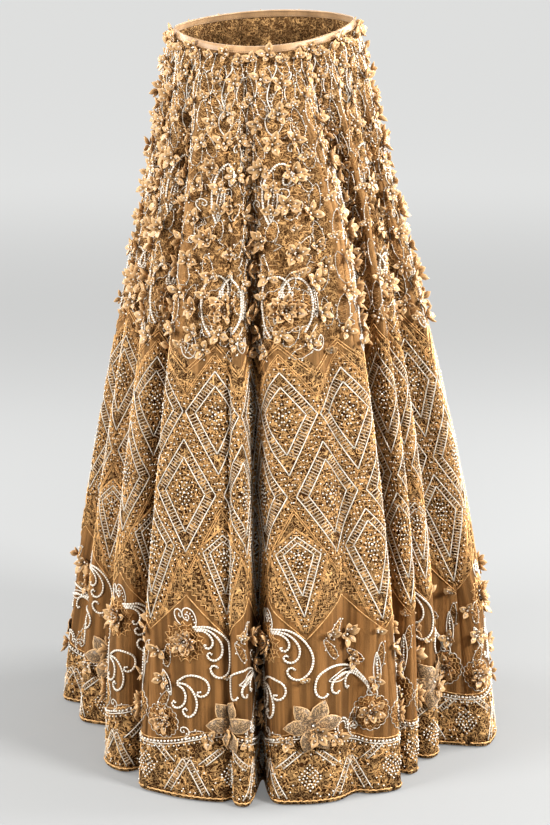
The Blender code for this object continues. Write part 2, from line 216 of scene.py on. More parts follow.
class Form:
    """The skirt's outer side, as a place for each share round it and share down it."""

    def __init__(self):
        points, troughs = [], []
        for ridge, radius, half, trough, trough_radius, _ in FOLDS:
            for place in BROAD_CROWN if half >= BROAD_RIDGE else NARROW_CROWN:
                fall = CROWN_FALL if abs(place) == 1.0 else 1.0
                points.append(on_circle(ridge + place * half, radius * fall))
            troughs.append(len(points))
            points.append(on_circle(trough, trough_radius))
        curve = catmull(points, CURVE_STEPS, closed=True)
        start = troughs[-1] * CURVE_STEPS
        curve = np.roll(curve, -start, axis=0)
        closed = np.vstack([curve, curve[:1]])
        along = run_along(closed)
        self.hem_length = along[-1]
        even = np.linspace(0.0, along[-1], LOOP_POINTS + 1)
        self.hem = np.stack([np.interp(even, along, closed[:, axis]) for axis in (0, 1)], 1)
        marks = [0.0] + [along[(trough * CURVE_STEPS - start) % len(curve)] / along[-1]
                         for trough in troughs[:-1]] + [1.0]
        even = even / along[-1]
        self.waist_angle = math.radians(WAIST_START) + even * 2.0 * math.pi
        self.lower_angle, self.upper_angle = (
            self.through(marks, np.radians([FOLDS[-1][column] - 360.0] + [row[column] for row in FOLDS]),
                         even) for column in (3, 5))

    @staticmethod
    def through(marks, angles, even):
        """Angles that meet the given ones at the troughs and change smoothly between them."""
        lead = np.array(angles) - (angles[0] + np.array(marks) * 2.0 * math.pi)
        index = np.clip(np.searchsorted(marks, even, side="right") - 1, 0, len(marks) - 2)
        begin, end = np.array(marks)[index], np.array(marks)[index + 1]
        change = smoothstep((even - begin) / (end - begin))
        return angles[0] + even * 2.0 * math.pi + lead[index] + (lead[index + 1] - lead[index]) * change

    @staticmethod
    def look_up(values, share):
        """The values round the loop, at shares of the way round it."""
        place = np.mod(share, 1.0) * LOOP_POINTS
        index = np.minimum(np.floor(place).astype(int), LOOP_POINTS - 1)
        part = place - index
        if values.ndim == 2:
            part = part[..., None]
        return values[index] * (1.0 - part) + values[index + 1] * part

    def place(self, share, down):
        """The cloth's point at a share round the skirt and a share down it."""
        share, down = np.broadcast_arrays(np.asarray(share, float), np.asarray(down, float))
        drop = down * SIDE_LENGTH
        waist = self.look_up(self.waist_angle, share)
        upper = self.look_up(self.upper_angle, share)
        lower = self.look_up(self.lower_angle, share)
        angle = waist + (upper - waist) * smoothstep(down / UPPER_LEVEL)
        angle = angle + (lower - upper) * np.clip((down - UPPER_LEVEL) / (1.0 - UPPER_LEVEL), 0.0, 1.0)
        hem_oval = oval(lower, np.full(drop.shape, SIDE_LENGTH))
        fold = self.look_up(self.hem, share) + np.array(HEM_SHIFT) - hem_oval
        flat = oval(angle, drop) + fold * (down ** FOLD_GROWTH)[..., None]
        front = np.clip(np.cos(angle), 0.0, 1.0) ** EDGE_FOCUS
        back = np.clip(-np.cos(angle), 0.0, 1.0) ** EDGE_FOCUS
        edge = BACK_RISE * back - FRONT_DIP * front + HIP_TILT * np.sin(angle)
        height = (1.0 - down) * edge - SIDE_LENGTH * down
        return np.concatenate([flat, height[..., None]], -1)


class Drape:
    """The net as a grid of points with outward directions, which everything on it is bent onto."""

    COLUMNS = 30
    ROWS = 40
    FINE_COLUMNS = 400
    TURN_WEIGHT = 0.030
    STEP_DOWN = 0.004

    def __init__(self):
        self.form = Form()
        shares = [self.columns(number) for number in range(KALI_COUNT)]
        self.shares = np.concatenate([part[:-1] for part in shares] + [[1.0]])
        self.drops = np.linspace(0.0, SIDE_LENGTH, self.ROWS + 1)
        share, drop = np.meshgrid(self.shares, self.drops)
        self.points = self.form.place(share, drop / SIDE_LENGTH)
        self.outs = self.outward(self.points)
        self.points = self.points + self.outs * self.crease(share, drop)[..., None]
        self.outs = self.outward(self.points)

    def columns(self, number):
        """Shares across a gore, closer together where the hem turns."""
        fine = np.linspace(number / KALI_COUNT, (number + 1) / KALI_COUNT, self.FINE_COLUMNS)
        hem = Form.look_up(self.form.hem, fine)
        way = np.unwrap(np.arctan2(np.gradient(hem[:, 1]), np.gradient(hem[:, 0])))
        turn = np.concatenate([[0.0], np.cumsum(np.abs(np.diff(way)))])
        measure = run_along(hem) + self.TURN_WEIGHT * turn
        return np.interp(np.linspace(0.0, measure[-1], self.COLUMNS + 1), measure, fine)

    @staticmethod
    def outward(points):
        """The direction straight out of the cloth at each point of its grid."""
        round_way = np.empty_like(points)
        round_way[:, 1:-1] = points[:, 2:] - points[:, :-2]
        round_way[:, 0] = round_way[:, -1] = points[:, 1] - points[:, -2]
        return unit(np.cross(np.gradient(points, axis=0), round_way))

    def girth(self, drop):
        """The cloth's length round the skirt at a drop, measured along its folds."""
        return WAIST_GIRTH + (self.form.hem_length - WAIST_GIRTH) * np.asarray(drop) / SIDE_LENGTH

    def gore_width(self, drop):
        """A gore's width at a drop, measured along its folds."""
        return self.girth(drop) / KALI_COUNT

    def crease(self, share, drop):
        """How far the soft pleats lift the net, each a little otherwise on every gore."""
        across = share * KALI_COUNT - np.floor(share * KALI_COUNT) - 0.5
        number = np.floor(share * KALI_COUNT)
        lift = np.zeros(share.shape)
        for place, first, last, height, width in CREASES:
            uneven = 1.0 + 0.35 * np.sin(number * 2.3 + place * 17.0)
            away = np.abs(across - place - 0.012 * np.sin(number * 1.7 + drop * 9.0))
            away = np.minimum(away, 1.0 - away) * self.gore_width(drop)
            window = smoothstep((drop - first) / 0.06) * smoothstep((last * uneven ** 0.2 - drop) / 0.08)
            lift += height * uneven * np.exp(-((away / width) ** 2)) * window
        return lift

    def look(self, share, drop):
        """The cloth's points and outward directions at shares and drops, on the grid's facets."""
        share = np.mod(share, 1.0)
        drop = np.clip(drop, 0.0, SIDE_LENGTH)
        column = np.clip(np.searchsorted(self.shares, share, side="right") - 1, 0, len(self.shares) - 2)
        row = np.clip(np.searchsorted(self.drops, drop, side="right") - 1, 0, self.ROWS - 1)
        u = ((share - self.shares[column]) / (self.shares[column + 1] - self.shares[column]))[..., None]
        v = ((drop - self.drops[row]) / (self.drops[row + 1] - self.drops[row]))[..., None]
        blend = []
        for field in (self.points, self.outs):
            above = field[row, column] * (1 - u) + field[row, column + 1] * u
            below = field[row + 1, column] * (1 - u) + field[row + 1, column + 1] * u
            blend.append(above * (1 - v) + below * v)
        return blend[0], unit(blend[1])

    def axes(self, share, drop):
        """Points, and unit directions across, up and out, at shares and drops."""
        point, out = self.look(share, drop)
        above, below = (self.look(share, drop + step)[0] for step in (-self.STEP_DOWN, self.STEP_DOWN))
        up = above - below
        up = unit(up - out * (up * out).sum(-1, keepdims=True))
        return point, np.cross(up, out), up, out

    def openness(self, share, drop, reach):
        """1 where the cloth lies open, less where a flower would be pinched in a fold's line."""
        aside = reach / self.girth(drop)
        outs = [self.look(share + step * aside, drop)[1] for step in (-1.0, 0.0, 1.0)]
        tight = np.minimum((outs[0] * outs[1]).sum(-1), (outs[1] * outs[2]).sum(-1))
        return np.clip((tight + 0.1) / 0.9, 0.25, 1.0)


DRAPE = Drape()

# ---------------------------------------------------------------- the pattern's tables

# The band of lozenges has a pointed upper edge and a pointed lower one, the hem's band a waved
# top: drops where the points start, and how far they reach
BAND_TOP, BAND_TOP_POINT = 0.412, 0.040
BAND_FOOT, BAND_FOOT_POINT = 0.806, 0.056
HEM_TOP, HEM_WAVE = 0.958, 0.012

# Lozenges of the middle band: place across (in gore widths from the gore's middle), drops of the
# top, the widest line and the foot, half width
LOZENGES = (
    (0.00, 0.444, 0.503, 0.585, 0.0370),
    (0.50, 0.444, 0.503, 0.585, 0.0370),
    (-0.25, 0.541, 0.614, 0.695, 0.0395),
    (0.25, 0.541, 0.614, 0.695, 0.0395),
    (0.00, 0.668, 0.693, 0.778, 0.0260),
    (0.50, 0.640, 0.690, 0.795, 0.0330),
)
# The sizes of the lines and rows of beads round a lozenge's middle; its own outline is 1
INNER_LINE = 0.66
INSIDE_ROWS = (0.55, 0.405)
INSIDE_BEADS = ((0.14, 0.0060), (0.27, 0.0066), (0.475, 0.0110))
OUTSIDE_ROWS = (1.115, 1.245)
OUTSIDE_BEADS = 1.20
BRAID_ROWS = (1.365, 1.430)
ZIGZAG_PITCH, ZIGZAG_DEPTH = 0.0084, 0.0048

# White bead cords: shape, place across and drop of the root (in metres from the gore's middle line
# and from the waist), width, height, turn in degrees, and -1 where the shape is flipped
HOOKS = (
    ("stem", 0.002, 0.092, 0.012, 0.070, 4, 1), ("stem", -0.017, 0.070, 0.007, 0.040, -8, -1),
    ("stem", 0.020, 0.078, 0.007, 0.040, 8, 1), ("crook", 0.000, 0.124, 0.020, 0.034, 0, 1),
    ("crook", 0.024, 0.166, 0.013, 0.032, 6, -1), ("crook", -0.008, 0.244, 0.027, 0.084, 6, 1),
    ("curl", -0.026, 0.228, 0.015, 0.017, 0, 1), ("curl", 0.006, 0.210, 0.013, 0.015, 0, -1),
    ("curl", -0.034, 0.282, 0.012, 0.020, 0, -1), ("crook", -0.006, 0.398, 0.032, 0.084, -3, 1),
    ("crook", 0.026, 0.392, 0.030, 0.076, 4, -1), ("curl", -0.034, 0.388, 0.020, 0.042, 176, 1),
    ("curl", 0.040, 0.382, 0.018, 0.036, 184, -1), ("curl", -0.044, 0.800, 0.018, 0.030, 20, -1),
    ("curl", -0.062, 0.796, 0.012, 0.022, -12, 1), ("sweep", -0.042, 0.802, 0.020, 0.024, -4, 1),
    ("sweep", -0.044, 0.800, 0.034, 0.042, -2, 1), ("sweep", -0.046, 0.797, 0.052, 0.068, 0, 1),
    ("sweep", -0.072, 0.876, 0.036, 0.034, -34, 1), ("sweep", -0.073, 0.878, 0.030, 0.044, 6, 1),
    ("sweep", -0.072, 0.880, 0.022, 0.030, 36, 1), ("arch", 0.092, 0.896, 0.084, 0.046, 0, 1),
    ("arch", 0.091, 0.894, 0.062, 0.028, 3, 1), ("arch", 0.090, 0.892, 0.038, 0.024, 6, 1),
    ("curl", 0.100, 0.905, 0.014, 0.018, 30, -1), ("curl", 0.068, 0.956, 0.018, 0.020, 0, 1),
    ("curl", -0.066, 0.955, 0.014, 0.016, -10, -1),
)

# The cords' shapes, in units of their width and height, from the root up
SHAPES = {
    "stem": ((0.00, 0.00), (-0.45, 0.30), (-0.10, 0.62), (0.42, 0.86), (0.30, 1.00)),
    "crook": ((0.00, 0.00), (-0.26, 0.22), (-0.36, 0.50), (-0.29, 0.76), (-0.04, 0.95),
              (0.26, 1.00), (0.54, 0.90), (0.62, 0.76), (0.50, 0.66), (0.30, 0.68), (0.32, 0.77)),
    "curl": ((0.00, 0.00), (-0.40, 0.36), (-0.42, 0.78), (-0.04, 1.00), (0.40, 0.86),
             (0.44, 0.56), (0.16, 0.46), (0.02, 0.62), (0.14, 0.74)),
    "sweep": ((0.00, 0.00), (0.44, 0.02), (0.78, -0.16), (1.00, -0.50), (0.94, -0.82),
              (0.68, -1.00), (0.46, -0.95), (0.38, -0.82), (0.48, -0.74), (0.58, -0.80)),
    "arch": ((0.00, 0.00), (-0.10, 0.43), (-0.36, 0.86), (-0.69, 1.00), (-0.92, 0.81),
             (-1.00, 0.43), (-0.95, 0.14), (-0.86, 0.08), (-0.80, 0.20)),
}

# Leaf lobes filled with thread: place across, drop of the middle, length, width, turn
LOBES = (
    (-0.019, 0.026, 0.028, 0.012, 20), (0.018, 0.028, 0.030, 0.012, -22), (0.000, 0.040, 0.022, 0.010, 0),
    (-0.024, 0.058, 0.036, 0.012, -4), (0.025, 0.062, 0.038, 0.012, 6), (0.010, 0.072, 0.032, 0.011, 18),
    (-0.010, 0.082, 0.036, 0.012, -14), (-0.027, 0.098, 0.042, 0.013, 4), (0.029, 0.108, 0.044, 0.013, -6),
    (0.014, 0.114, 0.028, 0.011, 28), (-0.018, 0.138, 0.034, 0.012, -20), (-0.033, 0.150, 0.038, 0.012, 8),
    (0.036, 0.154, 0.036, 0.012, -10), (-0.008, 0.182, 0.030, 0.012, 14), (-0.032, 0.196, 0.044, 0.013, 8),
    (0.030, 0.190, 0.030, 0.012, -28), (0.040, 0.214, 0.044, 0.014, 8), (0.016, 0.226, 0.028, 0.012, 34),
    (-0.006, 0.252, 0.030, 0.012, 10), (0.042, 0.264, 0.044, 0.014, -10), (-0.040, 0.252, 0.044, 0.014, 6),
    (0.024, 0.276, 0.030, 0.012, 26), (-0.016, 0.302, 0.034, 0.012, -8), (-0.046, 0.310, 0.046, 0.015, -6),
    (0.010, 0.322, 0.030, 0.012, 16), (0.048, 0.316, 0.048, 0.015, 8), (-0.034, 0.344, 0.034, 0.012, 18),
    (0.030, 0.350, 0.032, 0.012, -18), (-0.054, 0.366, 0.042, 0.014, 10), (0.054, 0.368, 0.040, 0.014, -12),
    (-0.012, 0.384, 0.030, 0.012, -10), (0.014, 0.396, 0.030, 0.012, 24), (0.028, 0.416, 0.034, 0.013, 58),
    (-0.028, 0.418, 0.034, 0.013, -58), (0.030, 0.826, 0.034, 0.011, -30), (0.040, 0.800, 0.032, 0.011, 34),
    (0.070, 0.842, 0.030, 0.010, -52), (0.104, 0.846, 0.040, 0.011, 6), (-0.086, 0.842, 0.034, 0.011, 8),
    (-0.094, 0.905, 0.034, 0.012, 30), (0.068, 0.930, 0.030, 0.010, 24), (-0.050, 0.948, 0.028, 0.010, 70),
)

# Ladders in the hem band, in pairs that lean together: place across, the top's distance aside
# and its drop, the foot's distance aside and its drop
HEM_LADDERS = (
    (-0.25, 0.006, 0.984, 0.034, 1.032),
    (0.25, 0.006, 0.984, 0.034, 1.032),
    (0.00, 0.018, 0.966, 0.046, 0.990),
    (0.50, 0.018, 0.966, 0.046, 0.990),
)

# Leaves outlined in white with pearls down their middle, in the same numbers as the lobes
PEARL_LEAVES = (
    (0.048, 0.866, 0.044, 0.013, 80), (0.100, 0.866, 0.052, 0.010, -4), (-0.004, 0.214, 0.050, 0.008, 6),
    (0.000, 0.356, 0.046, 0.008, 8), (0.037, 0.352, 0.042, 0.008, -8), (-0.088, 0.880, 0.036, 0.010, -18),
)

# Flowers: kind, place across (in gore widths), drop, radius of the heart, petals in a row, petal
# length
FLOWERS = (
    ("bud", -0.34, 0.020, 0.009, 3, 0.0130), ("bud", 0.02, 0.013, 0.010, 4, 0.0135),
    ("bud", 0.34, 0.023, 0.009, 3, 0.0130), ("bud", -0.12, 0.046, 0.011, 4, 0.0135),
    ("bud", 0.22, 0.052, 0.009, 4, 0.0130), ("bud", -0.36, 0.074, 0.008, 3, 0.0135),
    ("bud", 0.38, 0.084, 0.008, 3, 0.0135), ("blossom", 0.10, 0.094, 0.012, 5, 0.0145),
    ("bud", -0.20, 0.108, 0.008, 4, 0.0140), ("blossom", -0.02, 0.134, 0.012, 5, 0.0145),
    ("bud", 0.28, 0.130, 0.010, 4, 0.0140), ("bud", -0.36, 0.136, 0.009, 4, 0.0135),
    ("blossom", -0.16, 0.168, 0.013, 6, 0.0155), ("blossom", 0.19, 0.176, 0.013, 6, 0.0160),
    ("bud", -0.34, 0.194, 0.009, 4, 0.0140), ("bud", 0.37, 0.186, 0.009, 3, 0.0140),
    ("blossom", 0.10, 0.218, 0.013, 6, 0.0160), ("bud", -0.06, 0.228, 0.010, 3, 0.0145),
    ("blossom", -0.34, 0.240, 0.012, 5, 0.0150), ("bud", 0.33, 0.232, 0.011, 4, 0.0150),
    ("blossom", -0.16, 0.266, 0.013, 6, 0.0165), ("blossom", 0.13, 0.284, 0.013, 6, 0.0165),
    ("bud", 0.36, 0.278, 0.010, 4, 0.0145), ("blossom", -0.34, 0.296, 0.012, 5, 0.0150),
    ("bud", -0.08, 0.316, 0.010, 4, 0.0150), ("bud", 0.30, 0.324, 0.010, 5, 0.0150),
    ("bud", -0.38, 0.342, 0.010, 4, 0.0145), ("rosette", 0.06, 0.360, 0.015, 9, 0.0175),
    ("blossom", -0.24, 0.362, 0.011, 5, 0.0150), ("bud", 0.37, 0.368, 0.010, 4, 0.0145),
    ("bud", -0.42, 0.396, 0.010, 4, 0.0140), ("bud", 0.24, 0.404, 0.010, 4, 0.0140),
    ("bud", -0.10, 0.416, 0.010, 4, 0.0140), ("bud", 0.44, 0.424, 0.010, 3, 0.0135),
    ("bud", 0.02, 0.394, 0.010, 4, 0.0140), ("bud", 0.13, 0.252, 0.009, 3, 0.0140),
    ("bud", -0.21, 0.394, 0.009, 4, 0.0135), ("bud", 0.43, 0.156, 0.009, 3, 0.0135),
    ("bud", -0.05, 0.196, 0.009, 4, 0.0140), ("bud", -0.45, 0.268, 0.009, 3, 0.0140),
    ("bud", -0.13, 0.344, 0.009, 3, 0.0135), ("bud", 0.45, 0.306, 0.010, 4, 0.0140),
    ("bud", -0.44, 0.216, 0.009, 3, 0.0135), ("bud", 0.16, 0.314, 0.009, 3, 0.0135),
    ("bud", -0.30, 0.416, 0.009, 3, 0.0135), ("bud", -0.44, 0.838, 0.010, 4, 0.0145),
    ("bud", 0.30, 0.848, 0.010, 4, 0.0140), ("spiky_rosette", -0.27, 0.819, 0.0135, 10, 0.0130),
    ("blossom", 0.27, 0.812, 0.014, 6, 0.0170), ("bud", 0.14, 0.806, 0.010, 3, 0.0140),
    ("bud", 0.46, 0.812, 0.010, 3, 0.0140), ("bud", 0.42, 0.880, 0.010, 4, 0.0135),
    ("ringed_rosette", 0.39, 0.924, 0.0120, 7, 0.0150), ("lily", 0.02, 0.930, 0.009, 6, 0.0360),
    ("blossom", 0.15, 0.950, 0.010, 5, 0.0150), ("bud", -0.12, 0.952, 0.009, 4, 0.0140),
    ("bud", -0.02, 0.868, 0.007, 2, 0.0120), ("blossom", -0.40, 0.876, 0.011, 5, 0.0155),
    ("ringed_rosette", -0.40, 0.935, 0.0110, 7, 0.0140),
)

# ---------------------------------------------------------------- the flat pattern

SIDES = (-1.0, 1.0)
WHITE_STEP = 0.0105
PEARL_RADIUS = 0.0019

# Wandering threads that fill the columns: kind, count, first and last drop, share of the gore
SQUIGGLES = (("outline", 20, 0.045, 0.405, 0.40), ("fill", 50, 0.022, 0.410, 0.48))
HEM_SQUIGGLES = 64
GOLDEN = 0.618

# Rings of pearls: radius, count and pearl size at a rosette's heart; radius and size on the hem
ROSETTE_RINGS = ((0.0045, 7, 0.0017), (0.0095, 9, 0.0016))
HEM_RING, HEM_RING_SIZES = (0.046, 0.938), ((0.0115, 0.0017), (0.0075, 0.0013))
SCALLOPS = 15


def resample(line, step):
    """The same line with points about a step apart, its ends kept."""
    line = np.asarray(line, float)
    along = run_along(line)
    count = max(2, int(round(along[-1] / step)) + 1)
    even = np.linspace(0.0, along[-1], count)
    return np.stack([np.interp(even, along, line[:, axis]) for axis in (0, 1)], 1)


def zigzag(line, pitch=ZIGZAG_PITCH, depth=ZIGZAG_DEPTH):
    """A line that swings from side to side of another, as couched thread does."""
    line = resample(line, pitch / 2.0)
    if len(line) < 4:
        return line
    way = unit(np.gradient(line, axis=0))
    side = np.stack([-way[:, 1], way[:, 0]], 1)
    swing = np.where(np.arange(len(line)) % 2 == 0, 1.0, -1.0) * depth / 2.0
    return line + side * swing[:, None]


def turned(points, degrees):
    """Points turned about the origin; x is to the right and y is down the cloth."""
    angle = math.radians(degrees)
    spin = np.array([[math.cos(angle), math.sin(angle)], [-math.sin(angle), math.cos(angle)]])
    return np.asarray(points, float) @ spin


def spine(length, first, last, turn, at):
    """A leaf's middle line between two shares of its length, turned and moved to its place."""
    return turned(np.array([(0.0, first), (0.0, last)]) * length, turn) + at


def round_about(x, drop, radius, turn):
    """The place on a circle round another, its turn in radians from straight up."""
    return x + radius * math.sin(turn), drop - radius * math.cos(turn)


class Design:
    """One gore's motifs, kept flat as places on the cloth: a share round it and a drop."""

    def __init__(self):
        self.lines = {}
        self.beads = {"pearl": [], "seed": []}
        self.bars, self.petals, self.lily_petals = [], [], []
        self.random = np.random.default_rng(14)
        for lay in (self.lay_band, self.lay_hooks, self.lay_pearl_leaves, self.lay_hem_ring, self.lay_lobes,
                    self.lay_squiggles, self.lay_flowers, self.lay_hem_filling, self.lay_hem_ladders,
                    self.lay_hem_borders):
            lay()

    def share(self, place, x, drop):
        """A share of the skirt's round, from a place in gore widths and metres beside it."""
        return place / KALI_COUNT + (x + np.interp(drop, SWAY_DROPS, SWAY)) / DRAPE.girth(drop)

    def line(self, kind, place, points):
        """Keep a line that a cord follows, from points in metres beside a place."""
        points = np.asarray(points, float)
        if len(points) > 1:
            share = self.share(place, points[:, 0], points[:, 1])
            self.lines.setdefault(kind, []).append((share, points[:, 1]))

    def bead(self, kind, place, x, drop, radius):
        """Keep a bead, in metres beside a place."""
        self.beads[kind].append((float(self.share(place, x, drop)), drop, radius))

    def beads_along(self, kind, place, line, step, radius):
        for x, drop in resample(line, step):
            self.bead(kind, place, x, drop, radius)

    # -- the band of lozenges

    @staticmethod
    def lozenge_line(lozenge, level):
        """A lozenge's outline, or one at another size about the same middle."""
        _, top, widest, foot, half = lozenge
        up, down, aside = (widest - top) * level, (foot - widest) * level, half * level
        return np.array([(0, widest - up), (aside, widest), (0, widest + down),
                         (-aside, widest), (0, widest - up)])

    @staticmethod
    def levels(lozenge, x, drop):
        """Which of a lozenge's outlines a place lies on: 1 on its own, more outside it."""
        place, top, widest, foot, half = lozenge
        width = DRAPE.gore_width(drop)
        found = []
        for turn in (-1.0, 0.0, 1.0):
            beside = np.abs(x - (place + turn) * width) / half
            found.append(beside + np.where(drop < widest, (widest - drop) / (widest - top),
                                           (drop - widest) / (foot - widest)))
        return np.min(found, axis=0)

    def nearest(self, place, line, left_out=None):
        """How far outside the nearest lozenge each point of a line lies, as a level."""
        x = line[:, 0] + place * DRAPE.gore_width(line[:, 1])
        return np.min([self.levels(other, x, line[:, 1]) for other in LOZENGES if other is not left_out],
                      axis=0)

    @staticmethod
    def wave(x, drop):
        """1 at a gore's middle and its seams, 0 midway between them."""
        return 1.0 - np.abs(((x / DRAPE.gore_width(drop) * 2.0) % 1.0) * 2.0 - 1.0)

    def own_runs(self, lozenge, line, level):
        """The stretches of a line round a lozenge that no other lozenge is nearer to."""
        drop = line[:, 1]
        wave = self.wave(line[:, 0] + lozenge[0] * DRAPE.gore_width(drop), drop)
        free = (self.nearest(lozenge[0], line, lozenge) > max(level, 1.03) - 0.03) & (
            drop > BAND_TOP + BAND_TOP_POINT * wave) & (drop < BAND_FOOT - BAND_FOOT_POINT * wave)
        runs, start = [], None
        for index, good in enumerate(list(free) + [False]):
            if good and start is None:
                start = index
            if not good and start is not None:
                if index - start > 2:
                    runs.append(line[start:index])
                start = None
        return runs

    def ladder(self, place, outer, inner, pitch):
        """Short bars of thread from an inner line straight out to the outer one beside it."""
        way = inner[1] - inner[0]
        length = np.linalg.norm(way)
        way = way / length
        across = np.array([way[1], -way[0]])
        depth = float(np.dot(outer[0] - inner[0], across))
        for step in np.arange(pitch / 2.0, length, pitch):
            middle = inner[0] + way * step + across * depth / 2.0
            self.bars.append((float(self.share(place, *middle)), middle[1],
                              math.atan2(across[0], -across[1]), abs(depth) * 0.92))

    def lay_band(self):
        """The lozenges with what lies in and round them, and the band's two pointed edges."""
        for lozenge in LOZENGES:
            self.lay_lozenge(lozenge)
            self.lay_outside(lozenge)
        for place in (0.0, 0.5):
            self.lay_band_top(place)
        for place in (-0.25, 0.25):
            self.lay_band_foot(place)

    def lay_lozenge(self, lozenge):
        """Two white outlines with a ladder between them, and rows of thread and beads inside."""
        place, widest = lozenge[0], lozenge[2]
        outer, inner = self.lozenge_line(lozenge, 1.0), self.lozenge_line(lozenge, INNER_LINE)
        for side in range(4):
            edges = outer[side:side + 2], inner[side:side + 2]
            for edge in edges:
                self.line("white", place, resample(edge, WHITE_STEP))
            self.ladder(place, *edges, pitch=0.0043)
        for level in INSIDE_ROWS:
            self.line("vermicelli", place, zigzag(self.lozenge_line(lozenge, level)))
        for level, step in INSIDE_BEADS:
            self.beads_along("seed", place, self.lozenge_line(lozenge, level), step, radius=0.00155)
        self.bead("pearl", place, 0.0, widest, PEARL_RADIUS)

    def lay_outside(self, lozenge):
        """Rows of thread, beads and braid round a lozenge, as far as its neighbours leave room."""
        place = lozenge[0]
        for level in OUTSIDE_ROWS:
            line = resample(self.lozenge_line(lozenge, level), step=0.0036)
            for run in self.own_runs(lozenge, line, level):
                self.line("vermicelli", place, zigzag(run))
        dots = resample(self.lozenge_line(lozenge, OUTSIDE_BEADS), step=0.0090)
        for run in self.own_runs(lozenge, dots, OUTSIDE_BEADS - 0.02):
            for x, drop in run:
                self.bead("seed", place, x, drop, radius=0.00145)
        for level in BRAID_ROWS:
            line = resample(self.lozenge_line(lozenge, level), step=0.0090)
            for run in self.own_runs(lozenge, line, level):
                self.line("braid", place, run)

    @staticmethod
    def slant(side, first, reach, part):
        """One side of a point of the band: it falls as it runs a quarter of a gore aside."""
        drop = first + reach * part
        return np.stack([side * part * DRAPE.gore_width(drop) * 0.25, drop], 1)

    def lay_band_top(self, place):
        """A double braid along the band's upper edge, and a row of thread below it."""
        part, first, below = np.linspace(0.0, 1.0, 12), BAND_TOP - 0.002, 0.018
        for lift in (0.0, 0.005):
            for side in SIDES:
                self.line("braid", place, self.slant(side, first - lift, BAND_TOP_POINT, part))
        for side in SIDES:
            edge = self.slant(side, first - below, BAND_TOP_POINT, part) + (0.0, 2.0 * below)
            self.line("vermicelli", place, zigzag(edge))

    def lay_band_foot(self, place):
        """A braid along the band's lower edge, and rows of thread above it."""
        first = BAND_FOOT - BAND_FOOT_POINT + 0.004
        for side in SIDES:
            for lift in (0.012, 0.022, 0.032):
                edge = self.slant(side, first - lift, BAND_FOOT_POINT, np.linspace(0.06, 0.94, 12))
                keep = self.nearest(place, edge) > 1.10
                if keep.sum() > 3:
                    self.line("vermicelli", place, zigzag(edge[keep]))
            self.line("braid", place, self.slant(side, first, BAND_FOOT_POINT, np.linspace(0.0, 1.0, 14)))

    # -- white cords and the leaves between them

    def lay_hooks(self):
        """White bead cords, the broad ones thicker, and seed beads inside the larger curls."""
        for kind, x, drop, width, height, turn, flip in HOOKS:
            shape = catmull(SHAPES[kind], 6) * (width * flip, -height)
            shape = turned(shape, turn * flip) + (x, drop)
            thick = kind in ("sweep", "arch") or (kind == "crook" and height > 0.05)
            step = 0.0046 if thick else 0.0038
            self.line("scroll" if thick else "white", 0.0, resample(shape, step))
            if kind == "curl" and width > 0.017:
                inside = catmull(SHAPES[kind][1:6], 6) * (width * flip * 0.55, -height * 0.80)
                inside = turned(inside, turn * flip) + (x, drop)
                self.beads_along("seed", 0.0, inside, step=0.0046, radius=0.0015)

    def lay_pearl_leaves(self):
        """Leaves with a white rim on each side and seed beads down their middle."""
        part = np.linspace(0.0, 1.0, 11)
        for x, drop, length, width, turn in PEARL_LEAVES:
            for side in SIDES:
                rim = np.stack([side * width / 2.0 * np.sin(math.pi * part) ** 0.8,
                                (part - 0.5) * length], 1)
                self.line("white", 0.0, turned(rim, turn) + (x, drop))
            middle = spine(length, -0.38, 0.36, turn, (x, drop))
            self.beads_along("seed", 0.0, middle, step=0.0038, radius=0.0018)

    def lay_hem_ring(self):
        """Two open rings of pearls above the hem band."""
        x, drop = HEM_RING
        for radius, size in HEM_RING_SIZES:
            for angle in np.radians(np.linspace(-130.0, 110.0, 13)):
                self.bead("pearl", 0.0, x + radius * math.sin(angle),
                          drop - radius * 1.1 * math.cos(angle), size)

    def lay_lobes(self):
        """Leaf lobes: an outline of braid, thread inside it and seed beads round it."""
        turns = np.linspace(0.0, 2.0 * math.pi, 10)
        for x, drop, length, width, turn in LOBES:
            rim = np.stack([np.sin(turns) * width / 2.0 * (1.0 - 0.35 * np.cos(turns)),
                            -np.cos(turns) * length / 2.0], 1)
            self.line("outline", 0.0, turned(rim, turn) + (x, drop))
            middle = spine(length, -0.36, 0.38, turn, (x, drop))
            self.line("fill", 0.0, zigzag(middle, pitch=0.0064, depth=width * 0.46))
            beside = turned(rim[1:-1:2] * 1.30, turn) + (x, drop)
            self.beads_along("seed", 0.0, beside, step=0.0150, radius=0.0015)

    # -- short wandering squiggles that fill the ground between the motifs

    def squiggle(self, length, swing):
        """A short wave of thread that runs down the cloth, its length and swing in metres."""
        part = np.linspace(0.0, 1.0, 7)
        phase = self.random.uniform(0.0, 2.0 * math.pi)
        wave = self.random.choice((1.4, 1.9, 2.4))
        return np.stack([swing * np.sin(2.0 * math.pi * wave * part + phase)
                         + 0.0030 * np.sin(math.pi * part), (part - 0.5) * length], 1)

    def lay_squiggles(self):
        """Squiggles scattered down the columns, with a seed bead beside every second one."""
        for kind, count, low, high, reach in SQUIGGLES:
            for number in range(count):
                drop = low + (high - low) * (number + self.random.uniform(0.0, 1.0)) / count
                x = self.random.uniform(-reach, reach) * DRAPE.gore_width(drop)
                curve = self.squiggle(self.random.uniform(0.014, 0.026), self.random.uniform(0.0024, 0.0044))
                self.line(kind, 0.0, turned(curve, self.random.uniform(-38.0, 38.0)) + (x, drop))
                if number % 2:
                    self.bead("seed", 0.0, x + 0.0036, drop, radius=0.0014)

    # -- flowers of folded organza petals with pearls

